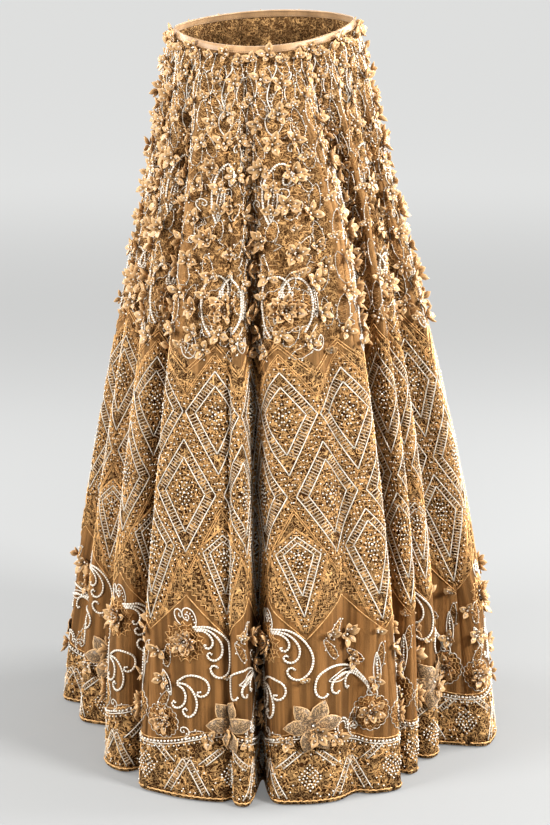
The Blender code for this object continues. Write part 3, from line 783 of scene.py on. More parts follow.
    def lay_flowers(self):
        """Every flower's petals with a pearl at its heart, and what trims its kind."""
        for kind, place, drop, radius, petals, length in FLOWERS:
            x = place * DRAPE.gore_width(drop)
            self.lay_flower(kind, place, x, drop, radius, petals, length)
            self.bead("pearl", 0.0, x, drop, PEARL_RADIUS)
            if kind.endswith("rosette"):
                self.trim_rosette(kind == "spiky_rosette", x, drop, radius + length * 0.60)
            if kind == "lily":
                self.fill_lily(x, drop)

    def lay_flower(self, kind, place, x, drop, radius, petals, length):
        """A flower's petals, in two rows where it is a rosette: the first row smaller and steeper."""
        rosette, lily = kind.endswith("rosette"), kind == "lily"
        for row in range(2 if rosette else 1):
            inner = rosette and row == 0
            for number in range(petals):
                turn = 2.0 * math.pi * (number + 0.5 * row) / petals
                turn += self.random.uniform(-0.16, 0.16) + 0.4
                if kind == "bud" and petals < 4:
                    turn = math.radians(-70 + 140 * number / max(1, petals - 1)) + 0.3 * place
                    turn += self.random.uniform(-0.3, 0.3)
                root = radius * (0.30 if row == 0 else 0.62) * (1.0 if petals > 3 else 0.3)
                size = length * (1.0 - 0.12 * inner)
                tilt = math.radians(34.0 if inner else 7.0 if lily else 20.0)
                tilt += self.random.uniform(-0.10, 0.14)
                self.petal(self.lily_petals if lily else self.petals,
                           round_about(x, drop, root, turn), turn, size, tilt)

    def petal(self, petals, at, turn, size, tilt):
        """Keep a petal: its root, its turn from straight up, its length and how far it stands up."""
        petals.append((float(self.share(0.0, *at)), at[1], turn, size, tilt))

    def trim_rosette(self, spiky, x, drop, reach):
        """Two rings of pearls and, round the petals, a scalloped rim filled with thread."""
        for ring, count, size in ROSETTE_RINGS:
            for number in range(count):
                at = round_about(x, drop, ring, 2.0 * math.pi * (number + 0.5) / count)
                self.bead("pearl", 0.0, *at, size)
        turns = np.linspace(0.0, 2.0 * math.pi, SCALLOPS * 3 + 1)
        swing = np.abs(np.sin(turns * SCALLOPS / 2.0))
        reach = reach * 1.06 + 0.0060 * (1.0 - swing) if spiky else reach * 1.12 + 0.0026 * swing
        rim = np.stack([x + reach * np.sin(turns), drop - reach * np.cos(turns)], 1)
        self.line("fill" if spiky else "outline", 0.0, rim)
        middle = np.array([x, drop])
        for level in (0.84, 0.64):
            inside = (rim[::2] - middle) * level + middle
            self.line("fill", 0.0, zigzag(inside, pitch=0.0076, depth=0.0042))

    def fill_lily(self, x, drop):
        """Seven beaded stamens, and seven short petals with pearls beside its heart."""
        for number in range(7):
            tip = round_about(x, drop, 0.020, math.radians(18 + 15 * number))
            self.line("outline", 0.0, np.array([(x, drop), tip]))
            self.bead("seed", 0.0, *tip, radius=0.0014)
        for number in range(7):
            turn = 2.0 * math.pi * number / 7 + 0.9
            at = round_about(x + 0.006, drop + 0.012, 0.004, turn)
            self.petal(self.petals, at, turn, size=0.0160, tilt=math.radians(22.0))
            self.bead("pearl", 0.0, *at, radius=0.0016)

    # -- the band above the hem

    def lay_hem_filling(self):
        """Squiggles spread evenly down the hem band, each with a seed bead."""
        half = DRAPE.gore_width(1.0) / 2.0
        for number in range(HEM_SQUIGGLES):
            x, drop = self.random.uniform(-half, half), 0.966 + 0.066 * ((number * GOLDEN) % 1.0)
            curve = self.squiggle(length=0.020, swing=0.0038)
            self.line("fill", 0.0, turned(curve, self.random.uniform(-80.0, 80.0)) + (x, min(drop, 1.026)))
            self.bead("seed", 0.0, x + 0.0048, min(drop + 0.004, 1.030), radius=0.0015)

    def lay_hem_ladders(self):
        """Leaning ladders between white cords, and diamonds of seed beads between them."""
        for place, x, top, reach, foot in HEM_LADDERS:
            for side in SIDES:
                legs = [np.array([(side * (x - gap), top), (side * (reach - gap), foot)])
                        for gap in (0.0, 0.0105)]
                for leg in legs:
                    self.line("white", place, resample(leg, step=0.010))
                self.ladder(place, *legs, pitch=0.0042)
        for place in (0.0, 0.5):
            diamond = (place, 0.985, 1.003, 1.021, 0.016)
            for level in (1.0, 0.62, 0.25):
                rim = self.lozenge_line(diamond, level)
                self.beads_along("seed", place, rim, step=0.0054, radius=0.0017)

    def lay_hem_borders(self):
        """Pearls, a white cord and a braid along the hem band's waved top, and a cord on the hem."""
        half = DRAPE.gore_width(1.0) / 2.0
        arch = np.linspace(-half, half, 44)
        top = HEM_TOP - HEM_WAVE * np.cos(2.0 * math.pi * arch / DRAPE.gore_width(HEM_TOP))
        rim = np.stack([arch, top - 0.003], 1)
        self.beads_along("pearl", 0.0, rim, step=0.0056, radius=0.0018)
        self.beads_along("seed", 0.0, rim + (0.0, 0.0075), step=0.0080, radius=0.0016)
        self.line("white", 0.0, resample(rim + (0.0, 0.0038), step=0.008))
        self.line("braid", 0.0, resample(rim - (0.0, 0.004), step=0.006))
        edge = np.linspace(-half, half, 100)
        scallop = 1.0365 - 0.0013 * np.abs(np.sin(edge * math.pi / 0.0088))
        self.line("edge", 0.0, np.stack([edge, scallop], 1))


DESIGN = Design()

# ---------------------------------------------------------------- many small things as one mesh


class Heap:
    """Points and faces of many small things, gathered into one mesh."""

    def __init__(self):
        self.points, self.faces, self.along, self.count = [], [], [], 0

    def add(self, points, faces, along):
        """Copies of one shape: points are (copies, corners, 3), faces index one copy."""
        copies, corners = points.shape[:2]
        starts = self.count + corners * np.arange(copies)
        self.points.append(points.reshape(-1, 3))
        self.along.append(np.broadcast_to(along, (copies, corners)).reshape(-1))
        for size, group in faces.items():
            self.faces.append((size, (starts[:, None, None] + group[None]).reshape(-1, size)))
        self.count += copies * corners

    def mesh(self, name):
        """Everything added so far as one mesh, with its places along in an attribute."""
        loops = np.concatenate([group.reshape(-1) for _, group in self.faces])
        sizes = np.concatenate([np.full(len(group), size) for size, group in self.faces])
        mesh = bpy.data.meshes.new(name)
        mesh.vertices.add(self.count)
        mesh.vertices.foreach_set("co", np.concatenate(self.points).astype(np.float32).reshape(-1))
        mesh.loops.add(len(loops))
        mesh.loops.foreach_set("vertex_index", loops.astype(np.int32))
        mesh.polygons.add(len(sizes))
        mesh.polygons.foreach_set("loop_start", np.concatenate([[0], np.cumsum(sizes)[:-1]]).astype(np.int32))
        mesh.update(calc_edges=True)
        along = mesh.attributes.new("along", "FLOAT", "POINT")
        along.data.foreach_set("value", np.concatenate(self.along).astype(np.float32))
        mesh.shade_smooth()
        return mesh


def ring_faces(rings, sides):
    """Faces of a tube with closed ends, as quads and the two end caps."""
    ring, side = np.meshgrid(np.arange(rings - 1), np.arange(sides), indexing="ij")
    after = (side + 1) % sides
    quads = np.stack([ring * sides + side, (ring + 1) * sides + side,
                      (ring + 1) * sides + after, ring * sides + after], -1).reshape(-1, 4)
    last = (rings - 1) * sides
    caps = np.array([np.arange(sides), last + np.arange(sides)[::-1]])
    if sides == 4:
        return {4: np.vstack([quads, caps])}
    return {4: quads, sides: caps}


def every_gore():
    """The share of the way round at which each gore's middle line lies."""
    return np.arange(KALI_COUNT) / KALI_COUNT + 0.5 / KALI_COUNT


def add_cords(heap, kind, radius, sides, height, lean):
    """Cords along the design's lines of one kind, on every gore; lean turns their corners."""
    turns = 2.0 * math.pi * (np.arange(sides) + lean) / sides
    for share, drop in DESIGN.lines[kind]:
        where = share[None] + every_gore()[:, None]
        point, out = DRAPE.look(where, np.broadcast_to(drop, where.shape))
        way = unit(np.gradient(point, axis=1))
        side = unit(np.cross(way, out))
        up = np.cross(side, way)
        middle = point + out * height
        ring = (middle[:, :, None] + radius * (np.cos(turns)[:, None] * side[:, :, None]
                                               + np.sin(turns)[:, None] * up[:, :, None]))
        heap.add(ring.reshape(KALI_COUNT, -1, 3), ring_faces(len(drop), sides),
                 np.repeat(run_along(point[0]), sides))


def shape_of(shell, shade=None):
    """A bmesh shape's points, faces and shade along it, as arrays to repeat.

    The faces are sorted, because solidify gives its rim's in another order on each run.
    """
    shell.verts.ensure_lookup_table()
    points = np.array([tuple(vertex.co) for vertex in shell.verts])
    shades = points[:, 1] if shade is None else shade(points)
    groups = {}
    for face in shell.faces:
        corners = [vertex.index for vertex in face.verts]
        groups.setdefault(len(corners), []).append(corners)
    shell.free()
    return points, {size: np.array(sorted(group)) for size, group in sorted(groups.items())}, shades


def pearl_shape():
    """A pearl in twenty faces, one unit in radius."""
    shell = bmesh.new()
    bmesh.ops.create_icosphere(shell, subdivisions=1, radius=1.0)
    return shape_of(shell)


def seed_shape():
    """A cut seed bead in eight faces, one unit in radius."""
    shell = bmesh.new()
    bmesh.ops.create_uvsphere(shell, u_segments=4, v_segments=2, radius=1.0)
    return shape_of(shell)


def bar_shape():
    """A short straight thread, lying along +Y, one unit long."""
    shell = bmesh.new()
    bmesh.ops.create_cone(shell, cap_ends=True, segments=3, radius1=1.0, radius2=1.0, depth=1.0)
    quarter_turn = mathutils.Matrix.Rotation(math.radians(90.0), 3, "X")
    bmesh.ops.rotate(shell, verts=shell.verts[:], matrix=quarter_turn)
    return shape_of(shell)


# Beads sit this share of their radius deep in the cloth, and petals this far out from it
BEAD_SINK = 0.05
PETAL_HEIGHT = 0.0016
# How far to each side of a petal's root the cloth has to lie open
PETAL_REACH = 0.012
# The petals' half widths and lifts at even steps from root to tip, in units of their length
PETAL_WIDTH = (0.14, 0.33, 0.28, 0.015)
PETAL_LIFT = (0.0, 0.02, 0.06, 0.26)
LILY_WIDTH = (0.08, 0.21, 0.30, 0.30, 0.19, 0.004)
LILY_LIFT = (0.0, 0.07, 0.11, 0.12, 0.11, 0.09)
# The bead in a petal's fold: its radius, and its place along and above the petal in its lengths
FOLD_BEAD, FOLD_BEAD_ALONG, FOLD_BEAD_LIFT = 0.0017, 0.36, 0.12


def petal_shape(widths, lifts, cup, thickness):
    """A cupped, pointed petal of folded organza, its root at the origin and its tip at +Y."""
    shell = bmesh.new()
    rows = len(widths) - 1
    places = np.linspace(0.0, 1.0, rows + 1)
    bmesh.ops.create_grid(shell, x_segments=2, y_segments=rows, size=1.0)
    for vertex in shell.verts:
        side, along = vertex.co.x, (vertex.co.y + 1.0) / 2.0
        row = int(round(along * rows))
        width = widths[row]
        vertex.co = (side * width, along, lifts[row] + cup * abs(side) * width)
    bmesh.ops.solidify(shell, geom=shell.faces[:], thickness=thickness)
    bmesh.ops.recalc_face_normals(shell, faces=shell.faces[:])

    def rim(points):
        """1 on the petal's rim and tip, 0 in its middle near the root."""
        width = np.interp(points[:, 1], places, widths)
        beside = np.abs(points[:, 0]) / np.maximum(width, 0.04)
        return np.clip(np.maximum(beside, points[:, 1] * 2.2 - 1.3), 0.0, 1.0)

    return shape_of(shell, rim)


def spread(rows):
    """A list of rows for one gore as columns of numbers, repeated for every gore."""
    full = np.tile(np.array(rows, float), (KALI_COUNT, 1))
    full[:, 0] += np.repeat(every_gore(), len(rows))
    return full.T


def turned_axes(turn, across, up):
    """The cloth's directions across and up, turned clockwise in the cloth as seen from outside."""
    return np.cos(turn) * across - np.sin(turn) * up, np.cos(turn) * up + np.sin(turn) * across


def add_stamps(heap, shape, centre, axes):
    """Copies of a shape, each on its own scaled axes."""
    points, faces, shades = shape
    placed = centre[:, None] + sum(points[None, :, axis, None] * axes[axis][:, None]
                                   for axis in range(3))
    heap.add(placed, faces, shades)


def add_beads(heap, kind, shape):
    """Beads that sit a little into the cloth."""
    share, drop, radius = spread(DESIGN.beads[kind])
    point, across, up, out = DRAPE.axes(share, drop)
    radius = radius[:, None]
    add_stamps(heap, shape, point + out * radius * (1.0 - BEAD_SINK),
               (across * radius, up * radius, out * radius))


def lay_petals(heap, shape, rows):
    """Copies of a broad petal, bent to the cloth it lies on."""
    share, drop, turn, length, _ = (column[:, None] for column in spread(rows))
    points, faces, shades = shape
    wide, along, lift = (points[None, :, axis] * length for axis in range(3))
    aside = wide * np.cos(turn) + along * np.sin(turn)
    down = wide * np.sin(turn) - along * np.cos(turn)
    point, out = DRAPE.look(share + aside / DRAPE.girth(drop), drop + down)
    heap.add(point + out * (lift + PETAL_HEIGHT)[..., None], faces, shades)


def petal_axes(rows):
    """Where petals spring from and their scaled axes; those in a deep fold lie smaller and flatter."""
    share, drop, turn, length, tilt = spread(rows)
    chance = np.random.default_rng(7)
    turn = turn + chance.uniform(-0.28, 0.28, len(turn))
    tilt = tilt + chance.uniform(-0.14, 0.42, len(turn))
    size = length * chance.uniform(0.78, 1.18, len(turn))
    openness = DRAPE.openness(share, drop, PETAL_REACH)
    point, across, up, out = DRAPE.axes(share, drop)
    size = (size * (0.55 + 0.45 * openness))[:, None]
    tilt = (tilt * openness)[:, None]
    wide, along = turned_axes(turn[:, None], across, up)
    tipped = np.cos(tilt) * along + np.sin(tilt) * out
    raised = np.cos(tilt) * out - np.sin(tilt) * along
    return point + out * PETAL_HEIGHT, (wide * size, tipped * size, raised * size)


# ---------------------------------------------------------------- shader maths


def wired(operation, reflected=False):
    """A method for an operator on a wire, which adds one Math node."""
    def method(wire, other):
        return wire.finish.math_of(operation, *((other, wire) if reflected else (wire, other)))
    return method


class Wire:
    """One shader socket; arithmetic on it adds Math nodes to its material."""

    def __init__(self, finish, socket):
        self.finish, self.socket = finish, socket

    __add__, __radd__ = wired("ADD"), wired("ADD", True)
    __sub__, __rsub__ = wired("SUBTRACT"), wired("SUBTRACT", True)
    __mul__, __rmul__ = wired("MULTIPLY"), wired("MULTIPLY", True)
    __truediv__, __rtruediv__ = wired("DIVIDE"), wired("DIVIDE", True)
    __lt__, __gt__ = wired("LESS_THAN"), wired("GREATER_THAN")


class Finish:
    """A material being built, round one Principled shader."""

    def __init__(self, name, roughness, metallic=0.0, **constants):
        self.material = bpy.data.materials.new(name)
        self.material.use_nodes = True
        self.tree = self.material.node_tree
        self.shader = self.tree.nodes["Principled BSDF"]
        self.shader.inputs["Roughness"].default_value = roughness
        self.shader.inputs["Metallic"].default_value = metallic
        for socket, value in constants.items():
            self.shader.inputs[socket.replace("_", " ")].default_value = value

    def put(self, socket, value):
        """Set a socket to a value, or link a wire to it."""
        if isinstance(value, Wire):
            self.tree.links.new(value.socket, socket)
        else:
            socket.default_value = value

    def node(self, kind, settings=None, sockets=None, output=0):
        """A new node with its settings, then its sockets; the wire from one of its outputs."""
        made = self.tree.nodes.new(kind)
        for name, value in (settings or {}).items():
            setattr(made, name, value)
        for name, value in (sockets or {}).items():
            self.put(made.inputs[name], value)
        return Wire(self, made.outputs[output])

    def math_of(self, operation, first, second=0.0):
        return self.node("ShaderNodeMath", {"operation": operation}, {0: first, 1: second})

    def along(self):
        """The place along a cord in metres, or a petal's shade from its root to its rim."""
        return self.node("ShaderNodeAttribute", {"attribute_name": "along"}, output=2)

    def cut(self):
        """The cloth's flat cut in metres: its map, the place across and the drop."""
        cut = self.node("ShaderNodeUVMap", {"uv_map": "cut"})
        return (cut, *(self.node("ShaderNodeSeparateXYZ", None, {0: cut}, output=part) for part in (0, 1)))

    def stretched(self, cut, across, down):
        """The cut's map scaled across and down, which draws a pattern out the other way."""
        return self.node("ShaderNodeMapping", None, {0: cut, 3: (across, down, 1.0)})

    def mix(self, factor, first, second, blend="MIX"):
        return self.node("ShaderNodeMix", {"data_type": "RGBA", "blend_type": blend},
                         {0: factor, 6: first, 7: second}, output=2)

    def noise(self, scale, detail=2.0, roughness=0.5, vector=None, distortion=0.0):
        sockets = {"Scale": scale, "Detail": detail, "Roughness": roughness, "Distortion": distortion,
                   "Vector": vector or self.coordinates()}
        return self.node("ShaderNodeTexNoise", None, sockets)

    def coordinates(self):
        return self.node("ShaderNodeTexCoord", output=3)

    def shaded(self, value, low, high, colour, dark, light):
        """A colour that turns from a darker to a lighter tint as a value rises."""
        return self.mix(self.soft(value, low, high), tint(colour, dark), tint(colour, light))

    def beads(self, size):
        """Beads strung close along a cord: 1 at a bead's middle, 0 between two."""
        return self.math_of("ABSOLUTE", self.math_of("SINE", self.along() * (math.pi / size)))

    def wander(self, scale):
        """Wandering lines like couched thread: 1 on a line, 0 in the gaps."""
        field = self.math_of("ABSOLUTE", self.noise(scale, 0.6, 0.5, distortion=1.1) - 0.5)
        return 1.0 - self.soft(field, 0.030, 0.075)

    def soft(self, value, low, high):
        """0 below the low value, 1 above the high one, smooth between."""
        return self.node("ShaderNodeMapRange", {"interpolation_type": "SMOOTHSTEP"},
                         {"Value": value, "From Min": low, "From Max": high})

    def bump(self, height, strength, distance):
        return self.node("ShaderNodeBump", None,
                         {"Height": height, "Strength": strength, "Distance": distance})

    def finish(self, colour, normal=None):
        """The material, with its colour and its relief joined to the shader."""
        self.put(self.shader.inputs["Base Color"], colour)
        if normal is not None:
            self.put(self.shader.inputs["Normal"], normal)
        return self.material


def tint(colour, factor=1.0):
    """A property's colour with its alpha, made lighter or darker."""
    return (*(min(1.0, part * factor) for part in colour), 1.0)


def net_zones(surface, across, drop):
    """Where the net lies under dense stitching: 1 in the bands and 0.7 in the columns."""
    near = surface.math_of("PINGPONG", across * 2.0, 0.5) * 2.0
    wobble = (surface.noise(55.0) - 0.5) * 0.018
    level = drop + wobble
    band = surface.soft(level - near * BAND_TOP_POINT, BAND_TOP, BAND_TOP + 0.008) * (
        1.0 - surface.soft(level + near * BAND_FOOT_POINT, BAND_FOOT - 0.006, BAND_FOOT + 0.002))
    middle = surface.math_of("ABSOLUTE", across + wobble * 4.0)
    column = (1.0 - surface.soft(middle + drop * 0.10, 0.44, 0.49)) * (
        1.0 - surface.soft(level, 0.405, 0.425))
    yoke = 1.0 - surface.soft(level, 0.075, 0.110)
    arch = surface.math_of("COSINE", across * (2.0 * math.pi))
    hem = surface.soft(level + arch * HEM_WAVE, HEM_TOP - 0.006, HEM_TOP + 0.004)
    return surface.math_of("MAXIMUM", surface.math_of("MAXIMUM", band, hem),
                           surface.math_of("MAXIMUM", column, yoke) * 0.70)


def net_finish(looks):
    """Sheer net streaked with painted shade and highlights along its pleats, with a darker stitched ground
    under the embroidery that is partly painted shade between the stitches.
    """
    surface = Finish("sheer_net", 0.70, Sheen_Weight=0.02, Specular_IOR_Level=0.08)
    cut, x, drop = surface.cut()
    hem_gain = float((DRAPE.form.hem_length - WAIST_GIRTH) / SIDE_LENGTH / KALI_COUNT)
    ground = net_zones(surface, x / (WAIST_GIRTH / KALI_COUNT + drop * hem_gain), drop)
    pleats = surface.noise(75.0, 3.0, 0.55, surface.stretched(cut, 1.0, 0.035))
    # Painted shade and painted highlights in soft vertical streaks, where the pleats and the layers under the
    # net would shade it and catch the light
    bare = surface.shaded(pleats, 0.40, 0.60, looks.net_colour, 0.66, 1.26)
    # Below the lozenges the net is a little darker and redder
    bare = surface.mix(surface.soft(drop, 0.70, 0.80), bare, (0.80, 0.74, 0.66, 1.0), "MULTIPLY")
    stitches = surface.math_of("MAXIMUM", surface.wander(135.0), surface.wander(215.0) * 0.75)
    thread = surface.shaded(surface.noise(90.0, 2.0), 0.38, 0.62, looks.thread_colour, 0.50, 1.06)
    # Between the stitches the ground is dark: partly the stitched ground's own colour, partly painted shade
    # in the gaps between the threads
    colour = surface.mix(ground, bare, surface.mix(stitches, tint(looks.ground_and_shade_colour), thread))
    mesh = surface.node("ShaderNodeTexVoronoi", {"feature": "DISTANCE_TO_EDGE"},
                        {"Scale": 620.0, "Vector": cut})
    weave = surface.soft(mesh, 0.02, 0.16) * -0.20
    relief = ground * stitches + (1.0 - ground) * pleats * 2.5 + weave
    return surface.finish(colour, surface.bump(relief, 1.0, 0.0026))


def thread_finish(name, looks, shade, twist):
    """Twisted metallic thread: a slanting ply, paler on its crests and darker between them, in painted light
    and shade along the twist.
    """
    surface = Finish(name, 0.38, 0.15, Specular_IOR_Level=0.3)
    ply = surface.math_of("SINE", surface.along() * (2.0 * math.pi / twist)) * 0.5 + 0.5
    grain = surface.noise(140.0, 2.0) + (surface.noise(700.0, 1.0) - 0.5) * 0.6
    base = surface.shaded(grain, 0.32, 0.68, shade, 0.66, 1.22)
    # Painted shade darkens the thread in stripes that follow the ply's twist
    colour = surface.mix(ply * 0.30, base, tint(looks.ground_and_shade_colour, 1.2))
    return surface.finish(colour, surface.bump(ply, 0.5, 0.0004))


def pale_cord_finish(looks):
    """Cut glass beads on gold thread: cream glints between darker beads."""
    surface = Finish("pale_bead_thread", 0.25, 0.15, Coat_Weight=0.3, Coat_Roughness=0.12)
    bead = surface.beads(0.0036)
    glint = surface.soft(bead + (surface.noise(300.0, 1.0) - 0.5) * 1.2, 0.10, 0.50)
    colour = surface.mix(glint, tint(looks.thread_colour, 0.60), tint(looks.bead_colour, 0.70))
    return surface.finish(colour, surface.bump(bead, 0.6, 0.0006))


def bead_cord_finish(name, looks, size, depth):
    """White cut beads strung close: a bright bead and a narrow dark gap, over and over; the gap is the
    thread's colour in painted shade.
    """
    surface = Finish(name, 0.28, Coat_Weight=0.40, Coat_Roughness=0.12)
    bead = surface.beads(size)
    gap = 1.0 - surface.soft(bead, 0.12, 0.55)
    base = surface.shaded(surface.noise(260.0, 1.0), 0.35, 0.65, looks.bead_colour, 0.86, 1.0)
    # The gaps between beads show the thread darkened by painted shade; depth says how dark
    colour = surface.mix(gap * depth, base, tint(looks.thread_colour, 0.55))
    return surface.finish(colour, surface.bump(bead, 0.9, size * 0.35))


def pearl_finish(looks):
    """Glazed pearls, clouded a little."""
    surface = Finish("pearl_glaze", 0.22, Coat_Weight=0.6, Coat_Roughness=0.08)
    colour = surface.shaded(surface.noise(170.0, 2.0), 0.35, 0.65, looks.bead_colour, 0.84, 1.02)
    return surface.finish(colour, surface.bump(surface.noise(900.0, 1.0), 0.08, 0.0002))


def petal_finish(looks):
    """Organza with a silky sheen: painted shade deep in its fold, and a pale painted highlight crisp at the
    rim.
    """
    surface = Finish("organza", 0.40, Sheen_Weight=0.10, Sheen_Roughness=0.3, Coat_Weight=0.10,
                     Coat_Roughness=0.35)
    rim = surface.along()
    shade = rim + (surface.noise(85.0, 2.0) - 0.5) * 0.7
    # Painted shade darkens the petal towards the middle of its root, deep in the cup
    body = surface.shaded(shade, 0.02, 0.62, looks.petal_colour, 0.46, 1.0)
    # A painted highlight makes the rim and the tip pale
    colour = surface.mix(surface.soft(rim, 0.80, 0.98) * 0.7, body, tint(looks.petal_colour, 1.22))
    return surface.finish(colour, surface.bump(surface.noise(430.0, 3.0, 0.6), 0.35, 0.0010))


def lily_finish(looks):
    """Broad petals filled with couched thread, with a plain folded rim."""
    surface = Finish("embroidered_petal", 0.45, Sheen_Weight=0.2)
    stitches = surface.wander(300.0)
    body = surface.mix(stitches, tint(looks.petal_colour, 0.24), tint(looks.petal_colour, 0.92))
    edge = surface.soft(surface.along(), 0.80, 0.92)
    colour = surface.mix(edge, body, tint(looks.petal_colour, 1.10))
    return surface.finish(colour, surface.bump(surface.math_of("MAXIMUM", stitches, edge), 0.8, 0.0012))


def satin_finish(looks):
    """Satin with a fine grain along the band and a line of stitches near its lower edge."""
    surface = Finish("band_satin", 0.38, Sheen_Weight=0.3, Sheen_Roughness=0.4)
    cut, x, drop = surface.cut()
    grain = surface.noise(900.0, 1.0, 0.5, surface.stretched(cut, 1.0, 0.12))
    stitch = surface.math_of("PINGPONG", x, 0.0014) > 0.0005
    line = surface.math_of("ABSOLUTE", drop - 0.0078) < 0.0004
    cloudy = surface.noise(40.0, 2.0) + (grain - 0.5) * 0.4
    base = surface.shaded(cloudy, 0.3, 0.7, looks.band_colour, 0.82, 1.14)
    colour = surface.mix(stitch * line, base, tint(looks.band_colour, 0.55))
    return surface.finish(colour, surface.bump(grain * 0.3 - line * 0.7, 0.4, 0.0006))


def stage_finish(name, colour):
    """A plain pale floor with painted light: it glows a little more with distance, as a lit studio's does."""
    surface = Finish(name, 0.9, Specular_IOR_Level=0.1, Emission_Strength=1.0)
    reach = surface.node("ShaderNodeVectorMath", {"operation": "LENGTH"},
                         {0: surface.coordinates()}, output=1)
    amount = surface.soft(reach, 0.4, 2.4) * 0.40 + surface.soft(reach, 2.0, 7.0) * 0.60
    # Painted light: little glow near the skirt, where its shade falls, and more far from it
    glow = surface.mix(amount, tint(colour, 0.17), tint(colour, 0.89))
    surface.put(surface.shader.inputs["Emission Color"], glow)
    return surface.finish(tint(colour, 0.37))


# ---------------------------------------------------------------- pieces


def add_piece(name, mesh, finish, replaced=()):
    """A finished piece: its material, what it rides on, what it stands for and its finish."""
    mesh.materials.append(finish)
    piece = bpy.data.objects.new(name, mesh)
    bpy.context.scene.collection.objects.link(piece)
    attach(piece, "root")
    if replaced:
        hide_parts(*replaced)
    return piece


def add_heap(heap, name, finish):
    """A finished piece of everything in a heap."""
    add_piece(name, heap.mesh(name), finish)


def add_cut_map(mesh, places):
    """A UV map in metres of the flat cut, from each point's own place on it."""
    layer = mesh.uv_layers.new(name="cut")
    corners = np.empty(len(mesh.loops), np.int32)
    mesh.loops.foreach_get("vertex_index", corners)
    layer.data.foreach_set("uv", places[corners].astype(np.float32).reshape(-1))


def thicken(piece, depth):
    """A live wall of an even depth, inwards from the cloth's outer side."""
    wall = piece.modifiers.new("wall", "SOLIDIFY")
    wall.thickness = depth
    wall.offset = -1.0


def cloth_panel(name, columns, rows, points, places):
    """A grid of cloth with its corners moved to the given points, bottom row first."""
    shell = bmesh.new()
    bmesh.ops.create_grid(shell, x_segments=columns, y_segments=rows, size=0.5)
    shell.verts.ensure_lookup_table()
    for vertex, point in zip(shell.verts, points.reshape(-1, 3)):
        vertex.co = point
    mesh = bpy.data.meshes.new(name)
    shell.to_mesh(mesh)
    shell.free()
    mesh.shade_smooth()
    add_cut_map(mesh, places.reshape(-1, 2))
    return mesh


# The waistband's profile: drop and how far it stands out from the net
BAND_PROFILE = ((0.0100, 0.0004), (0.0085, 0.0009), (0.0062, 0.0007), (0.0040, 0.0011), (0.0012, 0.0009),
                (0.0, 0.0003))
BAND_COLUMNS = 140
LADDER_RADIUS = 0.00085
HEM_CORD_RADIUS = 0.0013


def colour_property(name, description, value):
    return FloatVectorProperty(name=name, description=description, subtype="COLOR", size=3,
                               min=0.0, max=1.0, default=value)


class LehengaLooks(bpy.types.PropertyGroup):
    """The colours and sizes that a maker of the skirt would change"""
    net_colour: colour_property("Net", "Bare net between the motifs", (0.320, 0.175, 0.070))
    # Dark enough to stand for painted shade between the stitches and in the thread's twist, as well as the
    # stitched ground's own colour
    ground_and_shade_colour: colour_property("Ground", "Net under dense stitching", (0.062, 0.023, 0.005))
    thread_colour: colour_property("Thread", "Metallic thread of the vermicelli", (0.770, 0.465, 0.200))
    bead_colour: colour_property("Beads", "White bead cords and pearls", (0.900, 0.840, 0.740))
    petal_colour: colour_property("Petals", "Folded organza petals", (0.590, 0.370, 0.178))
    band_colour: colour_property("Waistband", "Satin waistband", (0.440, 0.275, 0.145))
    floor_colour: colour_property("Floor", "Studio floor", (0.634, 0.640, 0.638))
    cord_radius: FloatProperty(name="Bead cord", description="Radius of the white bead cords",
                               default=0.00095, min=0.0005, max=0.003, precision=5, unit="LENGTH")
    thread_radius: FloatProperty(name="Thread", description="Radius of the vermicelli thread",
                                 default=0.00110, min=0.0004, max=0.003, precision=5, unit="LENGTH")
    light: FloatProperty(name="Light", description="Strength of the studio lights", default=1.0,
                         min=0.1, max=4.0, subtype="FACTOR")


class LEHENGA_OT_net(bpy.types.Operator):
    """Hang the fourteen net gores"""
    bl_idname = "lehenga.net"
    bl_label = "Net gores"

    def execute(self, context):
        finish = net_finish(context.scene.lehenga)
        drop = np.clip(DRAPE.drops, BAND_HEIGHT * 0.85, None)[::-1]
        for number in range(KALI_COUNT):
            first = number * Drape.COLUMNS
            shares, drops = np.meshgrid(DRAPE.shares[first:first + Drape.COLUMNS + 1], drop)
            points = DRAPE.look(np.clip(shares, None, 1.0 - 1e-9), drops)[0]
            middle = (number + 0.5) / KALI_COUNT
            places = np.stack([(shares - middle) * DRAPE.girth(drops), drops], -1)
            name = f"net_kali_{number + 1:02d}"
            mesh = cloth_panel(name, Drape.COLUMNS, Drape.ROWS, points, places)
            panel = add_piece(name, mesh, finish, (f"kali_{number + 1:02d}",))
            thicken(panel, NET_THICKNESS)
        return {"FINISHED"}


class LEHENGA_OT_waistband(bpy.types.Operator):
    """Sew on the satin waistband"""
    bl_idname = "lehenga.waistband"
    bl_label = "Waistband"

    def execute(self, context):
        drops, heights = np.array(BAND_PROFILE).T
        share, drop = np.meshgrid(np.linspace(0.0, 1.0, BAND_COLUMNS + 1), drops)
        point, out = DRAPE.look(share, drop)
        places = np.stack([share * WAIST_GIRTH, drop], -1)
        mesh = cloth_panel("satin_waistband", BAND_COLUMNS, len(drops) - 1,
                           point + out * heights[:, None, None], places)
        shell = bmesh.new()
        shell.from_mesh(mesh)
        bmesh.ops.remove_doubles(shell, verts=shell.verts[:], dist=1e-6)
        shell.to_mesh(mesh)
        shell.free()
        band = add_piece("satin_waistband", mesh, satin_finish(context.scene.lehenga),
                         ("waistband",))
        thicken(band, BAND_THICKNESS)
        return {"FINISHED"}


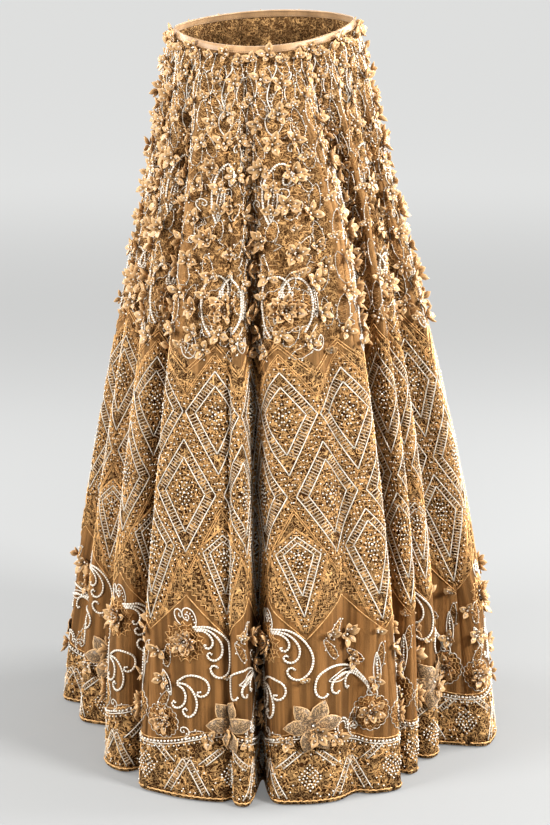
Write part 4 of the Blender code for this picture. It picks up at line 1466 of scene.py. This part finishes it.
class LEHENGA_OT_bead_cords(bpy.types.Operator):
    """Couch the white bead cords and the broader scrolls"""
    bl_idname = "lehenga.bead_cords"
    bl_label = "White bead cords"

    def execute(self, context):
        looks = context.scene.lehenga
        # Each with its beads' size and how deep the painted shade in the gaps between the beads goes
        for name, kind, thick, sides, size, depth in (
                ("white_bead_cords", "white", 1.0, 4, 0.0021, 0.45),
                ("scroll_bead_cords", "scroll", 1.75, 5, 0.0038, 0.85)):
            heap = Heap()
            radius = looks.cord_radius * thick
            add_cords(heap, kind, radius, sides, height=radius * 0.7, lean=0.0)
            add_heap(heap, name, bead_cord_finish(name, looks, size, depth))
        return {"FINISHED"}


class LEHENGA_OT_ladders(bpy.types.Operator):
    """Stitch the bars of thread between the lozenges' two outlines"""
    bl_idname = "lehenga.ladders"
    bl_label = "Thread ladders"

    def execute(self, context):
        looks, ladders = context.scene.lehenga, Heap()
        share, drop, turn, length = spread(DESIGN.bars)
        point, across, up, out = DRAPE.axes(share, drop)
        wide, along = turned_axes(turn[:, None], across, up)
        add_stamps(ladders, bar_shape(), point + out * LADDER_RADIUS * 0.8,
                   (wide * LADDER_RADIUS, along * length[:, None], out * LADDER_RADIUS))
        pale = tuple((thread + bead) / 2.0 for thread, bead in zip(looks.thread_colour, looks.bead_colour))
        finish = thread_finish("ladder_thread", looks, pale, twist=0.0016)
        add_heap(ladders, "thread_ladders", finish)
        return {"FINISHED"}


class LEHENGA_OT_vermicelli(bpy.types.Operator):
    """Couch the vermicelli thread, its braids and the cord on the hem's edge"""
    bl_idname = "lehenga.vermicelli"
    bl_label = "Vermicelli and braids"

    def execute(self, context):
        looks = context.scene.lehenga
        thread = thread_finish("vermicelli_thread", looks, looks.thread_colour, twist=0.0016)
        braid = thread_finish("braid_thread", looks, looks.thread_colour, twist=0.0024)
        pale = pale_cord_finish(looks)
        for name, kind, radius, sides, finish in (
                ("vermicelli", "vermicelli", looks.thread_radius, 3, thread),
                ("squiggles", "fill", looks.thread_radius, 3, thread),
                ("pale_outlines", "outline", looks.thread_radius * 0.85, 3, pale),
                ("braid_outlines", "braid", looks.thread_radius * 0.9, 3, braid),
                ("hem_edge_cord", "edge", HEM_CORD_RADIUS, 4, braid)):
            heap = Heap()
            add_cords(heap, kind, radius, sides, height=radius * 0.5, lean=0.75)
            add_heap(heap, name, finish)
        return {"FINISHED"}


class LEHENGA_OT_flowers(bpy.types.Operator):
    """Sew on the organza petals, each with a bead in its fold"""
    bl_idname = "lehenga.flowers"
    bl_label = "Organza flowers"

    def execute(self, context):
        looks = context.scene.lehenga
        small = petal_shape(PETAL_WIDTH, PETAL_LIFT, cup=0.78, thickness=0.040)
        broad = petal_shape(LILY_WIDTH, LILY_LIFT, cup=0.10, thickness=0.025)
        petals, beads, lilies = Heap(), Heap(), Heap()
        root, axes = petal_axes(DESIGN.petals)
        add_stamps(petals, small, root, axes)
        radius = FOLD_BEAD / np.linalg.norm(axes[0], axis=1, keepdims=True)
        add_stamps(beads, seed_shape(), root + axes[1] * FOLD_BEAD_ALONG + axes[2] * FOLD_BEAD_LIFT,
                   tuple(axis * radius for axis in axes))
        lay_petals(lilies, broad, DESIGN.lily_petals)
        add_heap(petals, "organza_petals", petal_finish(looks))
        add_heap(lilies, "lily_petals", lily_finish(looks))
        add_heap(beads, "petal_pearls", pearl_finish(looks))
        return {"FINISHED"}


class LEHENGA_OT_pearls(bpy.types.Operator):
    """Sew on the pearls and seed beads"""
    bl_idname = "lehenga.pearls"
    bl_label = "Pearls and seed beads"

    def execute(self, context):
        finish = pearl_finish(context.scene.lehenga)
        for name, kind, shape in (("pearls", "pearl", pearl_shape()), ("seed_beads", "seed", seed_shape())):
            heap = Heap()
            add_beads(heap, kind, shape)
            add_heap(heap, name, finish)
        return {"FINISHED"}


class LEHENGA_OT_stage(bpy.types.Operator):
    """Set the floor, the soft lights and the camera"""
    bl_idname = "lehenga.stage"
    bl_label = "Studio stage"

    FLOOR_SIZE, FLOOR_GAP = 60.0, 0.002
    # Name, place, target, size and power of each soft light
    LIGHTS = (
        ("key", (2.5, -1.9, 1.3), (0.0, 0.0, -0.5), 0.9, 154.0),
        ("fill", (-2.7, -1.7, 0.7), (0.0, 0.0, -0.55), 1.3, 112.0),
        ("back_left", (-2.6, 1.2, 1.0), (0.0, 0.0, -0.55), 1.4, 64.0),
        ("back_right", (2.8, 0.7, 0.8), (0.0, 0.0, -0.55), 1.4, 122.0),
        ("top", (0.2, 0.1, 2.4), (0.0, 0.0, -0.5), 1.4, 24.0),
    )
    WORLD_COLOUR, WORLD_LIGHT = (1.0, 0.955, 0.895, 1.0), 0.23
    CAMERA_PLACE, CAMERA_TILT, LENS, SENSOR = (0.015, -3.0, 0.143), 13.28, 91.5, 36.0

    def execute(self, context):
        looks, scene = context.scene.lehenga, context.scene
        self.lay_floor(scene, looks)
        self.set_lights(scene, looks)
        self.set_camera(scene)
        return {"FINISHED"}

    def lay_floor(self, scene, looks):
        """The studio's floor, a little below the hem."""
        shell = bmesh.new()
        bmesh.ops.create_grid(shell, x_segments=8, y_segments=8, size=self.FLOOR_SIZE)
        bmesh.ops.translate(shell, verts=shell.verts[:], vec=(0.0, 0.0, CAD_BOX[0][2] - self.FLOOR_GAP))
        mesh = bpy.data.meshes.new("studio_floor")
        shell.to_mesh(mesh)
        shell.free()
        mesh.materials.append(stage_finish("studio_paper", looks.floor_colour))
        floor = bpy.data.objects.new("studio_floor", mesh)
        scene.collection.objects.link(floor)

    def set_lights(self, scene, looks):
        """The soft lights, the even light all round and how the colours are shown."""
        for name, place, target, size, power in self.LIGHTS:
            lamp = bpy.data.lights.new(name, "AREA")
            lamp.size, lamp.energy = size, power * looks.light
            light = bpy.data.objects.new(name, lamp)
            light.location = place
            aim = mathutils.Vector(target) - light.location
            light.rotation_euler = aim.to_track_quat("-Z", "Y").to_euler()
            scene.collection.objects.link(light)
        scene.world = bpy.data.worlds.new("studio")
        scene.world.use_nodes = True
        sky = scene.world.node_tree.nodes["Background"]
        sky.inputs["Color"].default_value = self.WORLD_COLOUR
        sky.inputs["Strength"].default_value = self.WORLD_LIGHT * looks.light
        scene.view_settings.view_transform = "Standard"
        scene.view_settings.look = "Medium High Contrast"

    def set_camera(self, scene):
        """A camera in front of the skirt, tilted down a little."""
        lens = bpy.data.cameras.new("camera")
        lens.sensor_fit, lens.sensor_height, lens.lens = "VERTICAL", self.SENSOR, self.LENS
        camera = bpy.data.objects.new("camera", lens)
        camera.location = self.CAMERA_PLACE
        camera.rotation_euler = (math.radians(90.0 - self.CAMERA_TILT), 0.0, 0.0)
        scene.collection.objects.link(camera)
        scene.camera = camera


OPERATORS = (LEHENGA_OT_net, LEHENGA_OT_waistband, LEHENGA_OT_vermicelli, LEHENGA_OT_bead_cords,
             LEHENGA_OT_ladders, LEHENGA_OT_flowers, LEHENGA_OT_pearls, LEHENGA_OT_stage)


class LEHENGA_PT_panel(bpy.types.Panel):
    """The skirt's colours and sizes, and a button for each group of pieces"""
    bl_label = "Lehenga skirt"
    bl_idname = "LEHENGA_PT_panel"
    bl_space_type = "VIEW_3D"
    bl_region_type = "UI"
    bl_category = "Lehenga"

    def draw(self, context):
        for name in LehengaLooks.__annotations__:
            self.layout.prop(context.scene.lehenga, name)
        for operator in OPERATORS:
            self.layout.operator(operator.bl_idname)


CLASSES = (LehengaLooks, *OPERATORS, LEHENGA_PT_panel)


def register():
    for made in CLASSES:
        bpy.utils.register_class(made)
    bpy.types.Scene.lehenga = PointerProperty(type=LehengaLooks)


def unregister():
    del bpy.types.Scene.lehenga
    for made in reversed(CLASSES):
        bpy.utils.unregister_class(made)


def main():
    """Make every piece and the stage."""
    register()
    bpy.ops.lehenga.net()
    bpy.ops.lehenga.waistband()
    bpy.ops.lehenga.vermicelli()
    bpy.ops.lehenga.bead_cords()
    bpy.ops.lehenga.ladders()
    bpy.ops.lehenga.flowers()
    bpy.ops.lehenga.pearls()
    bpy.ops.lehenga.stage()


if __name__ == "__main__":
    main()
